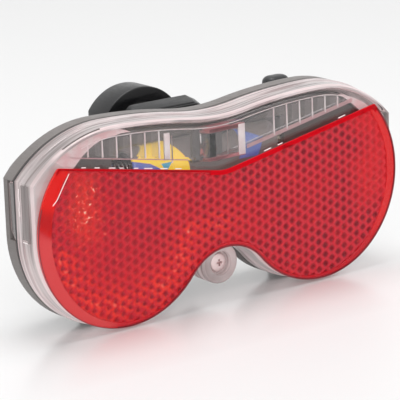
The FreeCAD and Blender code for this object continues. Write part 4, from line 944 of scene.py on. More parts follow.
def field_line(inset):
    """Outline of the prism field: closer to the right edge than to the left one."""
    return [(x * FIELD_SHARE + FIELD_SHIFT, z) for x, z in panel(BORDER + inset)]


rings = [ring(panel(2.4), 3.1),
         ring(panel(2.4), 1.52),
         ring(panel(0.5), 1.52),
         ring(panel(0.4), 1.4),
         ring(panel(0.0), 0.34),
         ring(panel(0.12), 0.22),
         ring(field_line(0.0), 0.22),
         ring(field_line(0.06), 0.3),
         ring(field_line(0.15), 1.0)]
reflector_body = skin("reflector_body", rings)
smooth(reflector_body)
fit(reflector_body, "cover", red_body, "reflector_red", "red_reflector")

# %% [markdown]
# ## Edges of the reflector
# The cut edge of a clear red panel collects light. Its glow is painted dark red along the top, and
# a thin painted shade shows below. A colour painted on the border would blur there, so each is a
# strip of its own: a closed band along the outline, of which a test keeps one part.

# %% Edges of the reflector
EDGE_LIFT = -1.6


def edge_strip(name, width, kept):
    """A thin strip on the border's outline; the test gets x and the way above the top edge."""
    rings = [ring(panel(0.03), 0.0), ring(panel(0.03), 0.3),
             ring(panel(width), 0.3), ring(panel(width), 0.0)]
    edge = skin(name, rings, ends=False)
    shape = bmesh.new()
    shape.from_mesh(edge.data)
    apart = []
    for face in shape.faces:
        spot = face.calc_center_median()
        level = at(0, 0, guide_low(spot.x / MM, EDGE_LIFT)).z
        if not kept(spot.x / MM, (spot.z - level) / MM):
            apart.append(face)
    bmesh.ops.delete(shape, geom=apart, context="FACES")
    bmesh.ops.holes_fill(shape, edges=shape.edges)
    shape.to_mesh(edge.data)
    shape.free()
    outward(edge)
    return edge


for name, width, finish, kept in (
        ("top_edge_right", 1.15, red_edge_glow, lambda x, over: over > 0 and x > -4),
        ("top_edge_left", 0.5, deep_red_edge_glow, lambda x, over: over > 0 and x <= -4),
        ("left_edge", 0.17, red_shade, lambda x, over: over < -8 and x <= -33),
        ("lower_edge", 0.42, red_shade, lambda x, over: over < 0 and x > -33)):
    fit(edge_strip(name, width, kept), "cover", finish, "reflector_red")
# A thin white wire on the upper left of the border is a painted highlight.
glint_line = wire("strip_glint", [(-45.0, 0.16, 15.2), (-46.6, 0.16, 12.8), (-48.6, 0.16, 9.6),
                                  (-49.9, 0.16, 8.4)], 0.1)
fit(glint_line, "cover", painted_glint, "reflector_red")

# %% [markdown]
# ## Prism layer
# The reflecting prisms are cube corners on a triangular lattice, 2.4 mm apart. Seen from the
# front, each is a hexagon whose corners stand at two levels and whose middle is the deepest
# point. The lattice is worked out cell by cell. Corners that fall outside the border are moved
# onto it, which trims the edge cells cleanly without a boolean cut.

# %% Lines around the prism field
border_line = field_line(0.1)


def inside(x, z, line):
    """True if a point lies inside a closed outline."""
    odd = False
    for one, two in zip(line, line[1:] + line[:1]):
        if (one[1] > z) != (two[1] > z):
            if x < (two[0] - one[0]) * (z - one[1]) / (two[1] - one[1]) + one[0]:
                odd = not odd
    return odd


def onto(x, z, line):
    """The nearest point of a closed outline, after its distance."""
    best = None
    for one, two in zip(line, line[1:] + line[:1]):
        run = (two[0] - one[0], two[1] - one[1])
        long = run[0] ** 2 + run[1] ** 2
        share = ((x - one[0]) * run[0] + (z - one[1]) * run[1]) / long
        share = min(max(share, 0), 1)
        spot = (one[0] + run[0] * share, one[1] + run[1] * share)
        away = math.dist(spot, (x, z))
        if best is None or away < best[0]:
            best = (away, spot)
    return best


print("prism field", len(border_line), "points around")

# %% [markdown]
# ## Sparkle
# Held in the hand, a few prisms flash and most stay dull. Real flashes come and go with the eye,
# so they can't be traced for one picture alone. Here a seeded draw picks a few corners near the
# upper left for a painted flash, and the walls low on the left lobe and over the waist are painted
# as lit by light from the ground.

# %% Sparkle
chance = random.Random(7)


def lit_from_below(x, z):
    """Share of the painted light on the lower walls: low on the left lobe and above the waist."""
    lobe = math.exp(-((math.hypot(x + 29.5, z) - 19.5) / 5.5) ** 2) * (z < -3)
    return max(lobe, math.exp(-((x + 3) ** 2 / 60 + (z + 5) ** 2 / 14)))


def point_shine(x, z, share, step):
    """Painted sparkle of one corner: rare painted bright points and the walls painted as lit from
    below.
    """
    upper = math.exp(-((x + 41) ** 2 / 18 + (z - 5) ** 2 / 60))
    lower = lit_from_below(x, z)
    luck = chance.random()
    if share and luck > 0.986 - 0.3 * upper:
        return 1.0 if chance.random() < 0.3 + 0.5 * upper else 0.6
    if share > 0.4 and step in (5, 6, 7, 8, 9, 10):
        return 0.85 * lower * (luck > 0.2)
    return 0.0


print("sparkle ready, most light from below", round(lit_from_below(-3, -5), 2))

# %% [markdown]
# ## Cells of the prism layer
# One cell is a hexagon of five rings of points around its deepest point. The shares say how far
# out a ring lies, and the pit shades, which are painted shade, how dark it is, with a sharp step
# where the wall meets the tip. Where the walls are painted as lit from below, the darker middle
# is drawn smaller.

# %% Cells of the prism layer
PRISM_PITCH = 2.4
PRISM_RISE = 0.34
PRISM_DEEP = 0.94
COLUMN = PRISM_PITCH * math.sqrt(3) / 2
CORNER = PRISM_PITCH / math.sqrt(3)
SHARES = (0.0, 0.3, 0.56, 0.66, 1.0)
PIT_SHADES = (1.0, 1.0, 0.9, 0.05, 0.0)
points = []
faces = []
pit_shade_values = []
glint_values = []


def cell_level(step):
    """Depth of the hexagon's rim at one of twelve steps: two corner levels and their middles."""
    if step % 2:
        return 1.5
    return 2.0 if step % 4 == 0 else 1.0


def cell_points(x, z, near_edge):
    """Adds the points of one cell, each with its painted pit shade and its painted glint."""
    slim = 1.0 - 0.2 * lit_from_below(x, z)
    for share, dark in zip(SHARES, PIT_SHADES):
        for step in range(12 if share else 1):
            angle = math.radians(30 * step)
            wide = CORNER if step % 2 == 0 else CORNER * math.cos(math.radians(30))
            out = share if share == 1.0 else share * slim
            px = x + out * wide * math.cos(angle)
            pz = z + out * wide * math.sin(angle)
            if near_edge and not inside(px, pz, border_line):
                px, pz = onto(px, pz, border_line)[1]
            points.append(at(px, PRISM_DEEP - PRISM_RISE * cell_level(step) * share, pz))
            pit_shade_values.append(dark)
            glint_values.append(point_shine(px, pz, share, step))


def cell_faces(first):
    """Adds the faces of one cell: a fan in the middle and quads from ring to ring."""
    for step in range(12):
        after = (step + 1) % 12
        faces.append((first, first + 1 + step, first + 1 + after))
        for level in range(len(SHARES) - 2):
            low = first + 1 + level * 12
            high = low + 12
            faces.append((low + step, high + step, high + after, low + after))


columns = int(56 / COLUMN)
rows = int(30 / PRISM_PITCH)
for column in range(-columns, columns + 1):
    for row in range(-rows, rows + 1):
        x = column * COLUMN
        z = (row + ((column + 1) % 2) / 2) * PRISM_PITCH
        away = onto(x, z, border_line)[0]
        if away < 0.75 * CORNER or inside(x, z, border_line):
            first = len(points)
            cell_points(x, z, away < 1.6 * CORNER)
            cell_faces(first)
print("prism layer", len(points), "points")

# %% [markdown]
# ## Prism layer as one mesh
# Neighbouring cells share corners, so their points are merged, and slivers at the trimmed edge
# are dissolved. All faces look to the front, or the light would fall on their backs.

# %% Prism layer
reflector_prisms = mesh_object("reflector_prisms", points, faces)
for label, values in (("pit_shade", pit_shade_values), ("glint", glint_values)):
    layer = reflector_prisms.data.attributes.new(label, "FLOAT", "POINT")
    layer.data.foreach_set("value", values)
shape = bmesh.new()
shape.from_mesh(reflector_prisms.data)
bmesh.ops.remove_doubles(shape, verts=shape.verts, dist=0.01 * MM)
bmesh.ops.dissolve_degenerate(shape, edges=shape.edges, dist=0.002 * MM)
bmesh.ops.recalc_face_normals(shape, faces=shape.faces)
if sum(face.normal.y for face in shape.faces) > 0:
    bmesh.ops.reverse_faces(shape, faces=shape.faces)
shape.to_mesh(reflector_prisms.data)
shape.free()
smooth(reflector_prisms, 20)
fit(reflector_prisms, "cover", reflector_red, "reflector_red")

# %% [markdown]
# ## Reflector face
# The front of the reflector is smooth to the hand, so a thin clear red sheet lies over the
# border and the prisms. It gives the flat gloss, and the relief shows through it.

# %% Reflector face
rings = [ring(panel(0.02), 0.21),
         ring(panel(0.0), 0.16),
         ring(panel(0.05), 0.06),
         ring(panel(0.2), 0.0)]
reflector_face = skin("reflector_face", rings)
smooth(reflector_face)
fit(reflector_face, "cover", red_face, "reflector_red")

# %% [markdown]
# ## Clear cover
# The cover is one clear moulding: a ledge under the edge of the reflector, a window above it, a
# stepped side wall and a flange that meets the housing. As its section is the same all round, it
# is a closed band of rings. Each ring of faces names its finish: clear for the window and the
# inside, milky with painted light for the walls, a painted highlight where the wall turns a
# corner, and painted dark shade in the gap where the flange meets the housing.

# %% Cover band
# Finish kinds of the cover: clear, milky wall, painted highlight line and painted gap shade.
CLEAR, WALL, HIGHLIGHT, GAP_SHADE = 0, 1, 2, 3
SECTION = [(panel(2.5), 1.56, CLEAR), (panel(2.4), 1.52, CLEAR), (casing(1.45), 1.52, WALL),
           (casing(1.25), 1.54, WALL), (casing(1.0), 1.7, HIGHLIGHT), (casing(0.75), 2.1, HIGHLIGHT),
           (casing(0.6), 2.7, WALL), (casing(0.5), 3.6, WALL), (casing(0.42), 5.5, WALL),
           (casing(0.32), 5.8, WALL), (casing(0.08), 6.0, WALL), (casing(0.03), 6.2, WALL),
           (casing(0.03), 8.2, GAP_SHADE), (casing(0.06), 8.9, GAP_SHADE), (casing(0.2), 8.98, WALL),
           (casing(1.7), 8.98, WALL), (casing(1.8), 8.9, CLEAR), (casing(1.8), 4.2, CLEAR),
           (casing(2.0), 3.6, CLEAR), (casing(2.6), 3.3, CLEAR), (panel(2.25), 3.3, CLEAR),
           (panel(2.2), 3.2, CLEAR), (panel(2.2), 1.7, CLEAR)]
front_cover = skin("clear_cover_shell", [ring(line, depth) for line, depth, kind in SECTION],
                   ends=False)
for material in (clear_cover, cover_wall, cover_highlight, cover_gap_shade):
    front_cover.data.materials.append(material)
around = len(casing())
milky_corner = at(-44.6, 0, 17.5)
for index, face in enumerate(front_cover.data.polygons):
    row = index // around
    at_left = face.center.x < milky_corner.x and face.center.z < milky_corner.z
    face.material_index = WALL if row == 1 and at_left else SECTION[row][2]
smooth(front_cover)
fit(front_cover, "cover", clear_cover, "clear_cover", "front_cover")

# %% [markdown]
# ## Dashes on the edge of the opening
# The edge of the cover's opening lies right over the red edge and shows as a broken white line
# of painted highlights.
# Where it breaks is chance, so the dashes are short wires with drawn lengths and gaps: close
# together on the left, and rare on the right.

# %% Dashes on the edge of the opening
dashes = []
chance = random.Random(3)
x = -41.0
while x < 41.0:
    long = 0.8 + 1.5 * chance.random()
    gap = 1.2 + 2.4 * chance.random()
    if x < -12 or chance.random() > 0.8:
        ends = [(x, 0.9, guide_low(x, 0.12)), (x + long, 0.9, guide_low(x + long, 0.16))]
        dashes.append(wire("dash", ends, 0.13))
    x += long + gap
fit(gather("opening_glints", dashes), "cover", painted_glint, "clear_cover")

# %% [markdown]
# ## Finger tabs
# A thin finger tab stands on each side of the cover, its rear lower corner cut off. It is a plate
# pushed sideways. Its edges shine, which a bevel alone doesn't show at this size, so a fine bead
# with a painted highlight runs around it, and its foot and one ripple in its face are painted
# highlights, as bright pieces of their own.

# %% Finger tabs
TAB_LOW = -0.5
TAB_HIGH = 13.2
TAB_FRONT = 3.2
SIDE = LOBE_OFFSET + LOBE_RADIUS
tabs = []
beads = []
shines = []
for side in (-1, 1):
    outline = [(TAB_FRONT, TAB_LOW), (9.4, TAB_LOW), (11.0, TAB_LOW + 2.2),
               (11.0, TAB_HIGH - 0.6), (10.4, TAB_HIGH), (TAB_FRONT, TAB_HIGH)]
    low = min(side * (SIDE - 0.95), side * (SIDE - 0.15))
    tab = plate("tab", outline, low, low + 0.8, "x")
    soften(tab, 0.15, 2)
    tabs.append(tab)
    out = side * (SIDE - 0.4)
    route = [(out, depth, height) for depth, height in
             ((TAB_FRONT + 0.2, TAB_LOW + 0.15), (9.3, TAB_LOW + 0.15), (10.8, TAB_LOW + 2.2),
              (10.8, TAB_HIGH - 0.6), (10.3, TAB_HIGH - 0.15), (6.0, TAB_HIGH - 0.15))]
    beads.append(wire("bead", route, 0.24))
    shines.append(bar("foot", low, low + 0.82, TAB_LOW - 0.05, TAB_LOW + 0.65, TAB_FRONT + 0.9, 8.9))
    face = side * (SIDE - 0.2)
    wave = [(face, 6.6, 12.2), (face, 6.9, 10.4), (face, 6.5, 8.7), (face, 6.85, 7.1), (face, 6.6, 5.6)]
    shines.append(wire("wave", wave, 0.2))
for name, pieces, finish in (("finger_tabs", tabs, tab_wall), ("tab_beads", beads, cover_highlight),
                             ("tab_shines", shines, painted_glint)):
    group = gather(name, pieces)
    smooth(group)
    fit(group, "cover", finish, "clear_cover")

# %% [markdown]
# ## Screw lug
# The lug in the waist takes the screw that holds the cover. It is a turned part with rounded
# ends, bored through, and its seat for the screw's head is sunk with a slightly conical tool.

# %% Screw lug
LUG_HEIGHT = -15.8
LUG_RADIUS = 5.2
LUG_PLACE = (0, 0, LUG_HEIGHT)
lug = turned("screw_lug", [(LUG_RADIUS - 0.6, 3.0), (LUG_RADIUS - 0.15, 3.2), (LUG_RADIUS, 3.6),
                           (LUG_RADIUS, 8.9), (LUG_RADIUS - 0.1, 8.98)], LUG_PLACE, steps=64)
cut(lug,
    turned("bore", [(1.55, 2.0), (1.55, 9.5)], LUG_PLACE),
    turned("sink", [(3.3, 2.6), (2.95, 3.4), (2.95, 5.6)], LUG_PLACE))
smooth(lug)
fit(lug, "cover", cover_wall, "clear_cover")

# %% [markdown]
# ## Finishes of the light guide
# The guide is as clear as the cover, but its edges are painted with light: white where the light
# leaves it, pink where the reflector shines into it. One maker blends two close tones softly, and
# a rim can be given a painted glow in its own colour, as an edge does that pipes light.

# %% Finishes of the light guide
def edge_finish(name, colour, other, size, amount, glow=0.0, **more):
    """A soft change of tone; glow is painted light given off in the finish's own colour."""
    material, tree, shader = finish_of(name, **more)
    change = placed(tree, soft_variation, Colour=linear(*colour), Other=linear(*other), Size=size,
                    Amount=amount).outputs["Colour"]
    feed(tree, shader.inputs["Base Color"], change)
    if glow:
        feed(tree, shader.inputs["Emission Color"], change)
        shader.inputs["Emission Strength"].default_value = glow
    return material


# Painted light of the guide: white highlights, pink and red light from the reflector, a glowing rim.
painted_white_light = edge_finish("painted_white_light", (246, 238, 238), (226, 200, 202), 5.0, 0.8,
                           IOR=PLASTIC_IOR, Roughness=0.35, Transmission_Weight=0.1)
reflected_red_edge = edge_finish("reflected_red_edge", (218, 178, 180), (206, 150, 156), 5.0, 0.8,
                        IOR=PLASTIC_IOR, Roughness=0.3, Transmission_Weight=0.3)
red_glow = edge_finish("red_glow", (216, 128, 136), (202, 76, 90), 4.0, 0.9,
                       IOR=PLASTIC_IOR, Roughness=0.3, Transmission_Weight=0.25)
glowing_pink_rim = edge_finish("glowing_pink_rim", (214, 202, 201), (206, 132, 141), 3.2, 0.5, PAINTED_WALL_GLOW,
                       IOR=PLASTIC_IOR, Roughness=0.2, Transmission_Weight=0.25)
rim_shade = edge_finish("rim_shade", (92, 84, 82), (120, 110, 108), 3.0, 0.5, Roughness=0.3)
rib_side = finish_of("rib_side", Base_Color=linear(226, 218, 217), Roughness=0.3, Alpha=0.14)[0]
print("guide finishes ready")

# %% [markdown]
# ## Light guide
# Behind the window lies a clear strip that spreads the lamp's light. It has a thin front skin and
# a lip all round. Its lower edge follows the reflector's straight top edge and its upper one the
# casing, so both are looked up along those outlines, and the strip is skinned from five rings.

# %% Light guide
GUIDE_FRONT = 3.4
GUIDE_SKIN = 0.8
GUIDE_BACK = 6.7
GUIDE_HALF = 43.6
GUIDE_INSET = 3.1
GUIDE_LIFT = 2.0


def guide_top(x, inset):
    """Height of the casing's upper outline at x, by search along the outline."""
    line = casing(inset)
    best = -100.0
    for one, two in zip(line, line[1:] + line[:1]):
        if min(one[0], two[0]) <= x <= max(one[0], two[0]) and one[1] > 0 and one[0] != two[0]:
            share = (x - one[0]) / (two[0] - one[0])
            best = max(best, one[1] + (two[1] - one[1]) * share)
    return best


def guide_outline(edge):
    """Outline of the strip, set in by an edge, as pairs from left to right and back."""
    steps = 60
    half = GUIDE_HALF - edge
    low = []
    high = []
    for step in range(steps + 1):
        x = -half + 2 * half * step / steps
        bottom = guide_low(x, GUIDE_LIFT + edge)
        top = guide_top(x, GUIDE_INSET + edge)
        low.append((x, bottom))
        high.append((x, max(top, bottom + 0.4)))
    return low + high[::-1]


strip = [ring(guide_outline(0.1), GUIDE_FRONT),
         ring(guide_outline(0.0), GUIDE_FRONT + 0.1),
         ring(guide_outline(0.0), GUIDE_BACK),
         ring(guide_outline(0.8), GUIDE_BACK),
         ring(guide_outline(0.8), GUIDE_FRONT + GUIDE_SKIN)]
light_guide = skin("light_guide_strip", strip)
smooth(light_guide)
fit(light_guide, "cover", clear_guide, "clear_guide", "light_guide")

# %% [markdown]
# ## Ribs of the light guide
# Upright ribs stand behind the strip's skin on both sides. They are clear too and show only where
# they catch the light, as a thin white line on the front of each. A clear plate alone would be
# lost, so each rib has a faint side and a painted white highlight line, as two pieces.

# %% Ribs of the light guide
RIB_FIRST = 17.4
RIB_PITCH = 4.08
RIB_COUNT = 6
ribs = []
lines = []
for side in (-1, 1):
    for index in range(RIB_COUNT):
        x = side * (RIB_FIRST + RIB_PITCH * index)
        low = guide_low(x, GUIDE_LIFT + 0.4)
        high = guide_top(x, GUIDE_INSET + 0.5)
        outline = [(x - 0.2, low), (x + 0.2, low), (x + 0.16, high), (x - 0.16, high)]
        ribs.append(plate("rib", outline, GUIDE_FRONT + GUIDE_SKIN + 0.02, GUIDE_BACK - 0.05))
        lines.append(plate("line", outline, GUIDE_FRONT - 0.06, GUIDE_FRONT + 0.3))
fit(gather("guide_ribs", ribs), "cover", rib_side, "clear_guide")
fit(gather("rib_lines", lines), "cover", painted_white_light, "clear_guide")

# %% [markdown]
# ## Edges of the light guide
# Light runs along the strip and leaves it at its edges, so this light is painted on as thin lines
# and bands: pink below, white above, and a glowing end on each side where strip and cover meet.

# %% Edges of the light guide
EDGE_START = 8.9


def lower_edge(side, thick, steps=40):
    """The painted bright lower edge of the strip on one side, from the middle outwards."""
    under = []
    over = []
    for step in range(steps + 1):
        x = side * (EDGE_START + (GUIDE_HALF - 1.0 - EDGE_START) * step / steps)
        under.append((x, guide_low(x, GUIDE_LIFT)))
        over.append((x, guide_low(x, GUIDE_LIFT + thick)))
    return plate("edge", under + over[::-1], GUIDE_FRONT - 0.05, GUIDE_FRONT + 0.35)


def upper_edge(steps=80):
    """The thin painted highlight line along the top of the strip."""
    route = []
    for step in range(steps + 1):
        x = -GUIDE_HALF + 4 + 2 * (GUIDE_HALF - 4) * step / steps
        route.append((x, GUIDE_FRONT, guide_top(x, GUIDE_INSET + 0.3)))
    return wire("edge", route, 0.11)


def band(name, side, far, near, top, drop, steps=24):
    """A strip along the casing's outline from x far to x near; drop gives its width at an x."""
    outer = []
    inner = []
    for step in range(steps + 1):
        x = far + (near - far) * step / steps
        high = guide_top(side * x, top(x))
        outer.append((side * x, high))
        inner.append((side * x, max(high - drop(x), guide_low(x, -1.0))))
    return plate(name, outer + inner[::-1], GUIDE_FRONT - 0.04, GUIDE_FRONT + 0.4)


def left_top(x):
    """Inset of the left end's upper edge, which bends down where it meets the strip's top."""
    return 1.75 + 1.2 * max(0.0, (30.5 - x) / 5.0) ** 2


def left_drop(x):
    """Width of the glowing left end."""
    return min(1.5 + 0.03 * max(0.0, x - 31.0) ** 2, 0.1 + 0.3 * (x - 25.5))


def right_drop(x):
    """Width of the glowing right end."""
    return 0.35 * (x - 38.0)


guide_rims = gather("guide_rims", [band("rim", -1, 47.0, 25.6, left_top, left_drop),
                                   band("rim", 1, 47.6, 38.2, lambda x: 3.0, right_drop)])
fit(guide_rims, "cover", glowing_pink_rim, "clear_guide")
# A dark wire on the upper left of the cover's rim is a painted dark reflection of the seal.
shade_route = [(x, 2.4, guide_top(x, 0.66)) for x in (-45.0, -43.5, -42.0, -40.0, -38.0, -36.0, -34.5)]
fit(wire("rim_shade", shade_route, 0.2), "cover", rim_shade, "clear_cover")
guide_edges = gather("guide_edges", [lower_edge(-1, 0.28), lower_edge(1, 0.95)])
fit(guide_edges, "cover", reflected_red_edge, "clear_guide")
top_line = gather("guide_top_line", [upper_edge()])
fit(top_line, "cover", painted_white_light, "clear_guide")

# %% [markdown]
# ## Lens block
# In the middle of the strip stands a small clear box without a front. Its floor and its roof
# carry the painted red glow of the reflector next to them, and its right wall is painted white
# with light. A post of painted white highlight and a thin painted line stand to its left, beside
# the first rib, and another thin painted line stands in the box.

# %% Lens block
BLOCK_LEFT = -2.6
BLOCK_RIGHT = 8.4
BLOCK_LOW = 10.3
BLOCK_HIGH = 18.3
BLOCK_BACK = 7.6
POST = 2.1
roof = bar("roof", BLOCK_LEFT, BLOCK_RIGHT, BLOCK_HIGH - 1.1, BLOCK_HIGH, GUIDE_FRONT, BLOCK_BACK)
floor = bar("floor", BLOCK_LEFT, BLOCK_RIGHT, BLOCK_LOW, BLOCK_LOW + 0.9, GUIDE_FRONT, BLOCK_BACK)
left_wall = bar("left_wall", BLOCK_LEFT, BLOCK_LEFT + POST, BLOCK_LOW + 0.95, BLOCK_HIGH - 1.15,
                GUIDE_FRONT, BLOCK_BACK)
for piece in (roof, floor, left_wall):
    soften(piece, 0.2)
block = gather("lens_block", [left_wall])
smooth(block)
fit(block, "cover", clear_guide, "clear_guide")
block_glow = gather("lens_block_floor", [floor, roof])
smooth(block_glow)
fit(block_glow, "cover", red_glow, "clear_guide")
right_wall = bar("right_wall", BLOCK_RIGHT - POST, BLOCK_RIGHT, BLOCK_LOW + 0.2, BLOCK_HIGH - 0.2,
                 GUIDE_FRONT - 0.05, GUIDE_FRONT + 0.6)
# Painted white highlights: the right wall, a post and two thin lines.
highlight_post = bar("highlight_post", -15.9, -14.2, 12.9, 19.4, GUIDE_FRONT - 0.05, GUIDE_FRONT + 0.8)
middle_line = bar("middle_line", 2.9, 3.15, BLOCK_LOW + 0.9, BLOCK_HIGH - 1.1, GUIDE_FRONT, 3.6)
second_line = bar("second_line", -13.8, -13.5, 12.0, 18.6, GUIDE_FRONT, 3.6)
for piece in (right_wall, highlight_post):
    soften(piece, 0.15, 2)
bright = gather("guide_posts", [right_wall, highlight_post, middle_line, second_line])
smooth(bright)
fit(bright, "cover", painted_white_light, "clear_guide")

# %% [markdown]
# ## Cover screw
# The screw in the lug has a pan head with a cross slot. The head and the shank are turned from
# one profile, and the slot is cut with two small bars. A thread isn't seen, so it has none.

# %% Cover screw
HEAD = 1.9
HEAD_RADIUS = 2.6
SHANK = 1.25
SLOT_LONG = 0.9
SLOT_WIDE = 0.28
low, high = reach("cover_screw")
seat = low.y + HEAD
screw = turned("cross_screw", [(HEAD_RADIUS * 0.25, -HEAD), (HEAD_RADIUS * 0.6, -HEAD * 0.96),
                               (HEAD_RADIUS * 0.85, -HEAD * 0.8), (HEAD_RADIUS * 0.98, -HEAD * 0.45),
                               (HEAD_RADIUS, -HEAD * 0.15), (HEAD_RADIUS * 0.97, 0), (SHANK, 0),
                               (SHANK, high.y - seat - 0.4), (SHANK * 0.7, high.y - seat)],
               (0, seat, LUG_HEIGHT))
for across, tall in ((SLOT_LONG, SLOT_WIDE), (SLOT_WIDE, SLOT_LONG)):
    cut(screw, bar("slot", -across, across, LUG_HEIGHT - tall, LUG_HEIGHT + tall,
                   low.y - 0.2, low.y + 1.0))
smooth(screw)
fit(screw, "cover", pink_reflecting_steel, "steel", "cover_screw")

# %% [markdown]
# ## Rear housing
# The housing is a deep dish: a straight rim with a groove for the seal, then a back that tapers
# evenly. Its rings run from the middle of the inner floor, up the wall, over the rim with
# its groove and down the outside to the back face.

# %% Housing dish
RIM_END = 13.0
BACK = 21.8
DISH_FLOOR = 20.0


def slant(depth):
    """Share of the taper at a depth behind the rim."""
    return max(0.0, depth - RIM_END) / (BACK - RIM_END)


HOUSING = [(4.4, slant(DISH_FLOOR), DISH_FLOOR), (3.4, slant(19.95), 19.95),
           (2.7, slant(19.6), 19.6), (2.4, slant(18.8), 18.8), (2.4, 0.0, RIM_END),
           (2.4, 0.0, 9.3), (2.3, 0.0, 9.22), (2.0, 0.0, 9.22), (2.0, 0.0, 10.1),
           (1.2, 0.0, 10.1), (1.2, 0.0, 9.22), (0.2, 0.0, 9.22), (0.05, 0.0, 9.28),
           (0.03, 0.0, 9.45), (0.03, 0.0, 12.85), (0.1, 0.0, 13.0), (0.14, slant(13.3), 13.3),
           (0.1, slant(14.5), 14.5), (0.1, slant(20.9), 20.9), (0.3, slant(21.4), 21.4),
           (0.6, slant(21.7), 21.7), (1.1, 1.0, 21.8)]
rings = [ring(casing(inset, taper), depth) for inset, taper, depth in HOUSING]
dish = skin("housing_dish", rings)
print("housing dish", len(dish.data.polygons), "faces")

# %% [markdown]
# ## Boss and openings of the housing
# A boss in the hollow of the waist takes the cover's screw. The dish is open on top for the push
# button and has a notch on each side for the finger tab. All are fused and cut while the dish is
# still one closed mesh, before the shading.

# %% Boss and openings of the housing
BUTTON_HALF = 3.6
BUTTON_WIDE = 2.6
BUTTON_DEPTH = 16.8
BUTTON_GAP = 0.3
button_low, button_high = reach("switch_button")
button_x = (button_low.x + button_high.x) / 2
fuse(dish, turned("boss", [(4.6, 9.22), (4.6, 17.0), (4.4, 17.2)], LUG_PLACE, steps=56))
half = BUTTON_HALF + BUTTON_GAP
wide = BUTTON_WIDE + BUTTON_GAP
hole = plate("button_hole", [(button_x - half, BUTTON_DEPTH - wide),
                             (button_x + half, BUTTON_DEPTH - wide),
                             (button_x + half, BUTTON_DEPTH + wide),
                             (button_x - half, BUTTON_DEPTH + wide)], 16.0, 26.0, "height")
screw_hole = turned("screw_hole", [(1.35, 9.0), (1.35, 15.0)], LUG_PLACE)
notches = []
for side in (-1, 1):
    low = min(side * (SIDE - 0.95), side * (SIDE + 0.3))
    outline = [(9.0, TAB_LOW - 0.3), (11.3, TAB_LOW - 0.3), (11.3, TAB_HIGH + 0.3),
               (9.0, TAB_HIGH + 0.3)]
    notches.append(plate("notch", outline, low, low + 1.25, "x"))
cut(dish, hole, screw_hole, *notches)
smooth(dish)
print("dish after its cuts", len(dish.data.polygons), "faces")

# %% [markdown]
# ## Feet, rails and posts
# Two small feet keep the light upright on a table. The back has a pair of hooked rails for the
# bracket, and two posts inside carry the circuit board. They are plates and turned parts set
# against the dish, gathered into one object, because a union would only cost time.

# %% Feet, rails and posts
FOOT_HALF = 1.5
BOARD_SCREW = (43.0, 7)
extras = []
for side in (-1, 1):
    middle = side * LOBE_OFFSET
    extras.append(bar("foot", middle - FOOT_HALF, middle + FOOT_HALF, -25.3, -20.0, 12.8, 20.4))
for side in (-1, 1):
    outline = [(side * 9.1, 21.6), (side * 11.2, 21.6), (side * 11.2, 25.7), (side * 6.7, 25.7),
               (side * 6.7, 24.4), (side * 9.1, 24.4)]
    extras.append(plate("rail", outline, -13.5, 16.9, "height"))
for piece in extras:
    soften(piece, 0.3)
for side in (-1, 1):
    extras.append(turned("post", [(2.3, 15.02), (2.4, 15.15), (2.4, 20.3)],
                         (BOARD_SCREW[0], 0, side * BOARD_SCREW[1])))
housing = gather("housing_shell", [dish] + extras)
smooth(housing)
fit(housing, "housing", housing_grey, "housing_grey", "rear_housing")

# %% [markdown]
# ## Seal
# A rubber seal fills the groove of the rim and shows as a dark line under the clear flange. A
# wire along the groove would be too round, so it is a band with a flat, softly edged section.

# %% Housing seal
rings = [ring(casing(inset), depth) for inset, depth in
         ((1.27, 10.05), (1.27, 9.3), (1.4, 9.21), (1.8, 9.21), (1.93, 9.3), (1.93, 10.05))]
seal = skin("seal_ring", rings, ends=False)
smooth(seal)
fit(seal, "housing", black_rubber, "black_rubber", "housing_seal")

# %% [markdown]
# ## Battery sleeve
# A cell is wrapped in a printed sleeve. This one is dark, with a warm yellow field and blue and
# teal ones. They are plain shapes without any mark, drawn by the finish as fields of colour. The
# sleeve also glows in those colours, painted light that brightens the cells behind the window.

# %% Battery sleeve
YELLOW_FIELD = [(-20.8, 13.4), (-19.5, 14.2), (-16.2, 16.2), (-9.0, 16.3), (-4.5, 10.5),
                (-2.8, 6.5), (-12.0, 6.5), (-20.8, 12.9)]
BLUE_FIELD = [(-23.0, 13.3), (-20.5, 13.2), (-15.8, 11.9), (-12.8, 10.2), (-12.8, 8.0), (-23.0, 8.0)]
TEAL_FIELD = [(-12.8, 11.4), (-9.4, 11.4), (-11.1, 9.0)]
SECOND_BLUE = [(11.0, 16.0), (12.6, 15.4), (18.2, 12.8), (16.8, 8.5), (11.0, 8.5)]
cell_sleeve, tree, shader = finish_of("cell_sleeve", Roughness=0.3, Coat_Weight=0.3,
                                      Emission_Strength=0.5)
change = placed(tree, soft_variation, Colour=linear(112, 103, 100), Other=linear(96, 88, 86),
                Size=10.0)
colour = change.outputs["Colour"]
for ink, corners in (((255, 214, 56), YELLOW_FIELD), ((92, 108, 178), BLUE_FIELD),
                     ((64, 160, 188), TEAL_FIELD), ((92, 112, 180), SECOND_BLUE)):
    colour = tinted(tree, colour, ink, corners)
feed(tree, shader.inputs["Base Color"], colour)
# Painted light: the sleeve gives off light in its own colours.
feed(tree, shader.inputs["Emission Color"], colour)
print("sleeve finish ready")

# %% [markdown]
# ## Battery cells
# The two cells lie across the light, each a steel can in its sleeve, which is rolled in at both
# ends, with a plain nub on the positive end. A cell is turned from one profile. Its faces near
# the axis get steel and the others the sleeve.

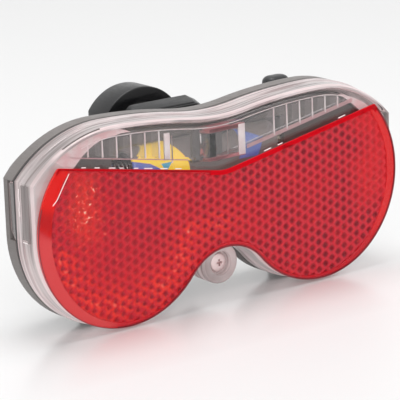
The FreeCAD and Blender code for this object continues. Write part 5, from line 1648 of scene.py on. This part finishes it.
# %% Battery cells
CELL_RADIUS = 5.25
SLEEVE_MOUTH = 4.1
for name, sign in (("upper", 1), ("lower", -1)):
    low, high = reach("battery_" + name)
    height = (low.z + high.z) / 2
    depth = (low.y + high.y) / 2
    start, end = (low.x, high.x) if sign > 0 else (high.x, low.x)
    bottom = [(3.6, 0.0), (4.4, 0.02), (4.9, 0.12), (CELL_RADIUS - 0.05, 0.5), (CELL_RADIUS, 0.9)]
    top = [(CELL_RADIUS, 1.8), (CELL_RADIUS - 0.08, 1.3), (4.8, 0.92), (4.0, 0.82), (3.9, 0.9),
           (2.3, 0.9), (1.9, 0.8), (1.85, 0.15), (1.6, 0.0)]
    profile = [(radius, start + sign * way) for radius, way in bottom]
    profile += [(radius, end - sign * way) for radius, way in top]
    cell = turned("cell_" + name, profile, (0, depth, height), "x", 72)
    smooth(cell)
    cell.data.materials.append(cell_sleeve)
    cell.data.materials.append(steel)
    axis = at(0, depth, height)[1:]
    for face in cell.data.polygons:
        away = math.dist((face.center.y, face.center.z), axis) / MM
        face.material_index = 1 if away < SLEEVE_MOUTH else 0
    fit(cell, "housing", cell_sleeve, "cell_sleeve", "battery_" + name)

# %% [markdown]
# ## Contacts and battery tray
# The sheet-metal contacts and the tray are flat work whose solids already have the right shape,
# so they are kept, with a finish and a small bevel.

# %% Contacts and battery tray
for name in ("contact_link", "contact_plus", "contact_minus"):
    keep(name, plated_strip, 0.08)
keep("battery_tray", tray_grey, 0.15)

# %% [markdown]
# ## Springs
# The springs are wound again as smooth wire: a close turn at each end and open turns between. A
# screw modifier would give an even pitch only, so the route is worked out step by step.

# %% Springs
SPRING_TURNS = 5
SPRING_STEPS = 240
SPRING_WIRE = 0.25
CLOSE_TURN = 0.12
for name in ("spring_upper", "spring_lower"):
    low, high = reach(name)
    depth = (low.y + high.y) / 2
    height = (low.z + high.z) / 2
    radius = (high.y - low.y) / 2 - SPRING_WIRE
    long = high.x - low.x - 2 * SPRING_WIRE
    route = []
    for step in range(SPRING_STEPS + 1):
        share = step / SPRING_STEPS
        angle = 2 * math.pi * SPRING_TURNS * share
        along = min(max((share - CLOSE_TURN) / (1 - 2 * CLOSE_TURN), 0), 1)
        x = low.x + SPRING_WIRE + long * (0.08 * share + 0.92 * along)
        route.append((x, depth + radius * math.cos(angle), height + radius * math.sin(angle)))
    coil = wire(name + "_coil", route, SPRING_WIRE)
    smooth(coil, 60)
    fit(coil, "housing", spring_steel, "spring_steel", name)

# %% [markdown]
# ## Circuit board
# Inside, a small green board carries the driver chip, a resistor and the switch. They are seen
# only with the cover off. The flat and small parts keep their solids.

# %% Circuit board
for name, finish, edge in (("circuit_board", board_green, 0.1), ("lamp_wires", wire_sleeve, 0.0),
                           ("board_screws", steel, 0.08), ("lamp_board", board_dark, 0.08),
                           ("switch_body", chip_black, 0.12),
                           ("switch_plunger", plunger_plastic, 0.15)):
    keep(name, finish, edge)

# %% [markdown]
# ## Driver chip
# The chip is one block in the solids. Here it is a black case raised on eight plated legs, four
# above and four below, which is what tells a chip from a plain block.

# %% Driver chip
LEGS = 4
LEG_HALF = 0.2
low, high = reach("driver_chip")
case = bar("chip_case", low.x, high.x, low.z, high.z, low.y + 0.25, high.y)
soften(case, 0.15)
legs = []
for index in range(LEGS):
    x = low.x + (high.x - low.x) * (index + 0.5) / LEGS
    for under, over in ((low.z - 0.45, low.z + 0.3), (high.z - 0.3, high.z + 0.45)):
        legs.append(bar("leg", x - LEG_HALF, x + LEG_HALF, under, over, low.y + 0.02, low.y + 0.3))
fit(gather("chip_legs", legs), "housing", plated_strip, "plated_strip")
smooth(case)
fit(case, "housing", chip_black, "chip_black", "driver_chip")

# %% [markdown]
# ## Resistor
# A resistor of the old kind is a small barrel with a thicker collar at each end. It is turned
# from one profile, which is the same read from either end.

# %% Resistor
low, high = reach("resistor")
depth = (low.y + high.y) / 2
height = (low.z + high.z) / 2
radius = (high.y - low.y) / 2
half_profile = [(0.5, 0.0), (0.9, 0.15), (1.0, 0.5), (1.0, 1.4), (0.85, 1.8)]
profile = [(radius * wide, low.x + way) for wide, way in half_profile]
profile += [(radius * wide, high.x - way) for wide, way in reversed(half_profile)]
barrel = turned("resistor_barrel", profile, (0, depth, height), "x")
smooth(barrel, 60)
fit(barrel, "housing", resistor_body, "resistor_body", "resistor")

# %% [markdown]
# ## Lamp
# The diode is a clear red dome on a short stem with a rim at its foot. The dome's profile is a
# quarter of a circle, and the whole is turned about its axis.

# %% Lamp
low, high = reach("lamp")
height = (low.z + high.z) / 2
rim = (high.x - low.x) / 2
stem = rim - 0.4
profile = []
for step in range(9):
    angle = math.radians(8 + 82 * step / 8)
    profile.append((stem * math.sin(angle), low.y + stem - stem * math.cos(angle)))
profile += [(stem, high.y - 0.4), (rim, high.y - 0.4), (rim, high.y)]
bulb = turned("lamp_bulb", profile, (0, 0, height))
smooth(bulb, 40)
fit(bulb, "housing", lamp_red, "lamp_red", "lamp")

# %% [markdown]
# ## Push button
# The button is a rubber cap with round corners and a domed top, and a flange that keeps it in the
# housing. Rings of a rounded rectangle, drawn in step by step, make the dome.

# %% Push button
def rounded(half_long, half_wide, radius, steps=8):
    """Corners of a rounded rectangle about the button's middle, as (x, depth) pairs."""
    corners = []
    for quarter, (sx, sy) in enumerate(((1, 1), (-1, 1), (-1, -1), (1, -1))):
        centre = (sx * (half_long - radius), sy * (half_wide - radius))
        for step in range(steps + 1):
            angle = math.radians(90 * (quarter + step / steps))
            corners.append((button_x + centre[0] + radius * math.cos(angle),
                            BUTTON_DEPTH + centre[1] + radius * math.sin(angle)))
    return corners


foot = button_low.z
crown = button_high.z
CAP = [(0.0, foot + 0.4), (0.0, crown - 2.0), (0.08, crown - 1.3), (0.3, crown - 0.8),
       (0.7, crown - 0.4), (1.2, crown - 0.15), (1.8, crown - 0.03), (2.3, crown)]
rings = []
for inset, height in CAP:
    line = rounded(BUTTON_HALF - inset, BUTTON_WIDE - inset, max(0.25, 2.4 - inset))
    rings.append([at(x, depth, height) for x, depth in line])
cap = skin("button_cap", rings)
flange = bar("button_flange", button_low.x, button_high.x, foot, foot + 0.7,
             button_low.y, button_high.y)
soften(flange, 0.15)
button = gather("rubber_button", [cap, flange])
smooth(button, 50)
fit(button, "button", button_rubber, "button_rubber", "switch_button")

# %% [markdown]
# ## Bracket
# A tongue slides in the rails on the housing's back. Above the rails it widens to a head with
# one rounded and one sloped end, and two ears behind it hold the clamp. The head's top slopes
# down to the front, so its front and back rings differ. The other parts are plates.

# %% Bracket
HEAD_HALF = 11.1
HEAD_LEFT = 10.2
HEAD_LOW = 17.2
HEAD_HIGH = 21.6
HEAD_SLOPE = 3.0
HEAD_DROP = 1.3


def head_line(top):
    """Outline of the head below a top height."""
    rounding = 1.9
    line = [(-HEAD_LEFT + 1.2, HEAD_LOW), (HEAD_HALF, HEAD_LOW), (HEAD_HALF, top - 1.6),
            (HEAD_HALF - HEAD_SLOPE, top)]
    line += arc((-HEAD_LEFT + rounding, top - rounding), (-HEAD_LEFT + rounding, top),
                (-HEAD_LEFT, top - rounding), 8)
    line.append((-HEAD_LEFT, top - rounding))
    return line


tongue = bar("tongue", -8.8, 8.8, -13.0, 20.0, 22.1, 24.1)
soften(tongue, 0.3)
web = bar("web", -6.4, 6.4, -13.0, 20.0, 24.0, 26.5)
soften(web, 0.4)
head = skin("head", [ring(head_line(HEAD_HIGH - HEAD_DROP), 22.7),
                     ring(head_line(HEAD_HIGH), 26.5)])
soften(head, 0.3, 3, 40)
print("tongue, web and head ready")

# %% [markdown]
# ## Ears of the bracket
# Two ears stand behind the web, one on each side of the clamp's knuckle. Each is a plate with a
# round end about the tilt screw's axis, pushed sideways.

# %% Ears of the bracket
EAR = 5.0
EAR_THICK = 3.0
EAR_ROOT = 25.5
EAR_STEPS = 24
PIVOT = (38.0, -8.0)
outline = [(EAR_ROOT, PIVOT[1] - EAR)]
for step in range(EAR_STEPS + 1):
    angle = math.radians(-90 + 180 * step / EAR_STEPS)
    outline.append((PIVOT[0] + EAR * math.cos(angle), PIVOT[1] + EAR * math.sin(angle)))
outline.append((EAR_ROOT, PIVOT[1] + EAR))
ears = []
for low in (-6.4, 3.4):
    ear = plate("ear", outline, low, low + EAR_THICK, "x")
    soften(ear, 0.3)
    ears.append(ear)
bracket = gather("bracket_arm", [tongue, web, head] + ears)
smooth(bracket)
fit(bracket, "bracket", bracket_black, "bracket_black", "bracket")

# %% [markdown]
# ## Tube clamp
# The clamp is two arches with a screw lug on each side, and the lower one ends in the knuckle
# that tilts between the bracket's ears. Each arch is one outline of arcs pushed along the tube.

# %% Clamp halves
CLAMP_HEIGHT = 10.4
CLAMP_OUT = 13.2
CLAMP_FLAT = 10.8
CLAMP_BORE = 9.4
CLAMP_NEAR = 34.0
CLAMP_FAR = 42.0
SPLIT = 0.6
LUG_HALF = 17.5
LUG_THICK = 3.4
SCREW_OFFSET = 14.0
KNUCKLE_HALF = 3.1
ARCH_STEPS = 28
BORE_STEPS = 36


def arch(sign):
    """Outline of one half of the clamp; sign is 1 above the tube and -1 below."""
    flat = math.sqrt(CLAMP_OUT ** 2 - CLAMP_FLAT ** 2)
    start = math.atan2(flat, CLAMP_FLAT)
    line = [(LUG_HALF, SPLIT), (LUG_HALF, SPLIT + LUG_THICK), (CLAMP_FLAT, SPLIT + LUG_THICK)]
    for step in range(ARCH_STEPS + 1):
        angle = start + (math.pi - 2 * start) * step / ARCH_STEPS
        line.append((CLAMP_OUT * math.cos(angle), CLAMP_OUT * math.sin(angle)))
    line += [(-CLAMP_FLAT, SPLIT + LUG_THICK), (-LUG_HALF, SPLIT + LUG_THICK), (-LUG_HALF, SPLIT)]
    low = math.asin(SPLIT / CLAMP_BORE)
    for step in range(BORE_STEPS + 1):
        angle = math.pi - low - (math.pi - 2 * low) * step / BORE_STEPS
        line.append((CLAMP_BORE * math.cos(angle), CLAMP_BORE * math.sin(angle)))
    return [(x, CLAMP_HEIGHT + sign * z) for x, z in line]


cap = plate("clamp_upper", arch(1), CLAMP_NEAR, CLAMP_FAR)
base = plate("clamp_base", arch(-1), CLAMP_NEAR, CLAMP_FAR)
for offset in (-SCREW_OFFSET, SCREW_OFFSET):
    middle = (offset, PIVOT[0], 0)
    cut(cap, turned("bore", [(1.6, 10.0), (1.6, 16.0)], middle, "height"),
        turned("sink", [(2.7, 12.6), (2.7, 16.0)], middle, "height"))
    cut(base, turned("bore", [(1.6, 5.0), (1.6, 11.0)], middle, "height"))
soften(cap, 0.45)
soften(base, 0.45)
neck = bar("neck", -KNUCKLE_HALF, KNUCKLE_HALF, PIVOT[1], 1.4, CLAMP_NEAR, CLAMP_FAR)
soften(neck, 0.3)
knuckle = turned("knuckle", [(EAR - 0.3, -KNUCKLE_HALF), (EAR, 0.3 - KNUCKLE_HALF),
                             (EAR, KNUCKLE_HALF - 0.3), (EAR - 0.3, KNUCKLE_HALF)],
                 (0, *PIVOT), "x", 56)
lower = gather("clamp_lower", [base, neck, knuckle])
for piece, body_node in ((cap, "clamp_cap"), (lower, "clamp_body")):
    smooth(piece)
    fit(piece, "clamp", bracket_black, "bracket_black", body_node)

# %% [markdown]
# ## Rubber liner
# A thin rubber strip lines each half, so that the clamp grips the tube and doesn't scratch it. It
# is a plate again: its outline runs out along the bore and back along the tube.

# %% Rubber liner
def half_round(radius, sign):
    """Points of one half of a circle about the tube's axis, without the split."""
    low = math.asin(SPLIT / radius)
    line = []
    for step in range(BORE_STEPS + 1):
        angle = low + (math.pi - 2 * low) * step / BORE_STEPS
        line.append((radius * math.cos(angle), CLAMP_HEIGHT + sign * radius * math.sin(angle)))
    return line


for name, sign in (("liner_upper", 1), ("liner_lower", -1)):
    line = half_round(CLAMP_BORE - 0.05, sign) + half_round(CLAMP_BORE - 0.8, sign)[::-1]
    rubber = plate(name + "_strip", line, CLAMP_NEAR, CLAMP_FAR)
    soften(rubber, 0.12, 2)
    smooth(rubber)
    fit(rubber, "clamp", black_rubber, "black_rubber", name)

# %% [markdown]
# ## Clamp and tilt screws
# The screws with their slotted heads and the hexagon nuts keep the shape of their solids. Bright
# steel and a small bevel, which catches the light on each edge, are all that they need.

# %% Screws and nuts
for name, edge in (("clamp_screws", 0.12), ("clamp_nuts", 0.12), ("tilt_screw", 0.15),
                   ("tilt_nut", 0.15)):
    keep(name, steel, edge)

# %% [markdown]
# ## Floor
# The light stands on a white floor that is a little glossy right in front of it, where it gives
# back a soft red reflection. The gloss fades out forwards, by a range over the depth. So that the
# floor stays white in the picture without more lamps, it gives off a little light of its own, but
# only to rays of the camera, of gloss and of clear plastic.

# %% Floor
FLOOR_HALF = 1.6
FLOOR_GLOW = 0.05
FLOOR_LEVEL = CAD_BOX[0].z - 0.00002


def seen_directly(tree):
    """1 for rays of the camera, of gloss and of clear plastic, and 0 for light on things."""
    rays = node(tree, "ShaderNodeLightPath").outputs
    seen = calculated(tree, "MAXIMUM", rays["Is Camera Ray"], rays["Is Glossy Ray"])
    return calculated(tree, "MAXIMUM", seen, rays["Is Transmission Ray"])


corners = [(-FLOOR_HALF, -FLOOR_HALF, FLOOR_LEVEL), (FLOOR_HALF, -FLOOR_HALF, FLOOR_LEVEL),
           (FLOOR_HALF, FLOOR_HALF, FLOOR_LEVEL), (-FLOOR_HALF, FLOOR_HALF, FLOOR_LEVEL)]
studio_floor = mesh_object("studio_floor", corners, [(0, 1, 2, 3)])
floor_white, tree, shader = finish_of("floor_white", Base_Color=(0.88, 0.88, 0.88, 1),
                                      Roughness=0.4, Specular_IOR_Level=0.1, Coat_Roughness=0.22,
                                      Coat_IOR=2.0, Emission_Color=(1, 1, 1, 1))
feed(tree, shader.inputs["Coat Weight"],
     ranged(tree, object_way(tree, "Y"), at(0, -30, 0).y, at(0, -2, 0).y, 0.85))
feed(tree, shader.inputs["Emission Strength"],
     calculated(tree, "MULTIPLY", seen_directly(tree), FLOOR_GLOW))
studio_floor.data.materials.append(floor_white)
print("floor at", round(FLOOR_LEVEL, 5))

# %% [markdown]
# ## World and lamps
# The world is pure white where the camera, gloss and clear plastic see it, and plainer where it
# lights the object. One large soft lamp above gives the shadow under the lobes, and a second one
# from the front left fills the reflector. A sky picture could light it too, but plain light keeps
# the colours as they are written.

# %% World and lamps
WORLD_LIGHT = 0.58
world = bpy.data.worlds.new("studio_world")
bpy.context.scene.world = world
world.use_nodes = True
tree = world.node_tree
tree.nodes.clear()
lighting = fed(tree, "ShaderNodeBackground", {"Color": (1, 1, 1, 1), "Strength": WORLD_LIGHT})
picture = fed(tree, "ShaderNodeBackground", {"Color": (1, 1, 1, 1), "Strength": 1.0})
either = fed(tree, "ShaderNodeMixShader", {0: seen_directly(tree), 1: lighting.outputs[0],
                                           2: picture.outputs[0]})
fed(tree, "ShaderNodeOutputWorld", {"Surface": either.outputs[0]})


def softbox(name, spot, goal, wide, power):
    """A square area lamp of that width in metres, turned to a goal."""
    lamp_data = bpy.data.lights.new(name, "AREA")
    lamp_data.size = wide
    lamp_data.energy = power
    made = bpy.data.objects.new(name, lamp_data)
    made.location = spot
    made.rotation_euler = (Vector(goal) - Vector(spot)).to_track_quat("-Z", "Y").to_euler()
    bpy.context.scene.collection.objects.link(made)
    return made


softbox("overhead", (0.0, 0.04, 0.6), (0, 0, 0.02), 0.35, 1.65)
softbox("front_fill", (-0.45, -0.7, 0.35), (0, 0, 0.02), 0.5, 2.0)
print("studio ready")

# %% [markdown]
# ## Sizes
# The box of the solids is printed, in millimetres. The dressed model has to stay inside the
# box of the solids.

# %% Write the sizes and finish
print("solids", [list(round(v / MM, 2) for v in corner) for corner in CAD_BOX])
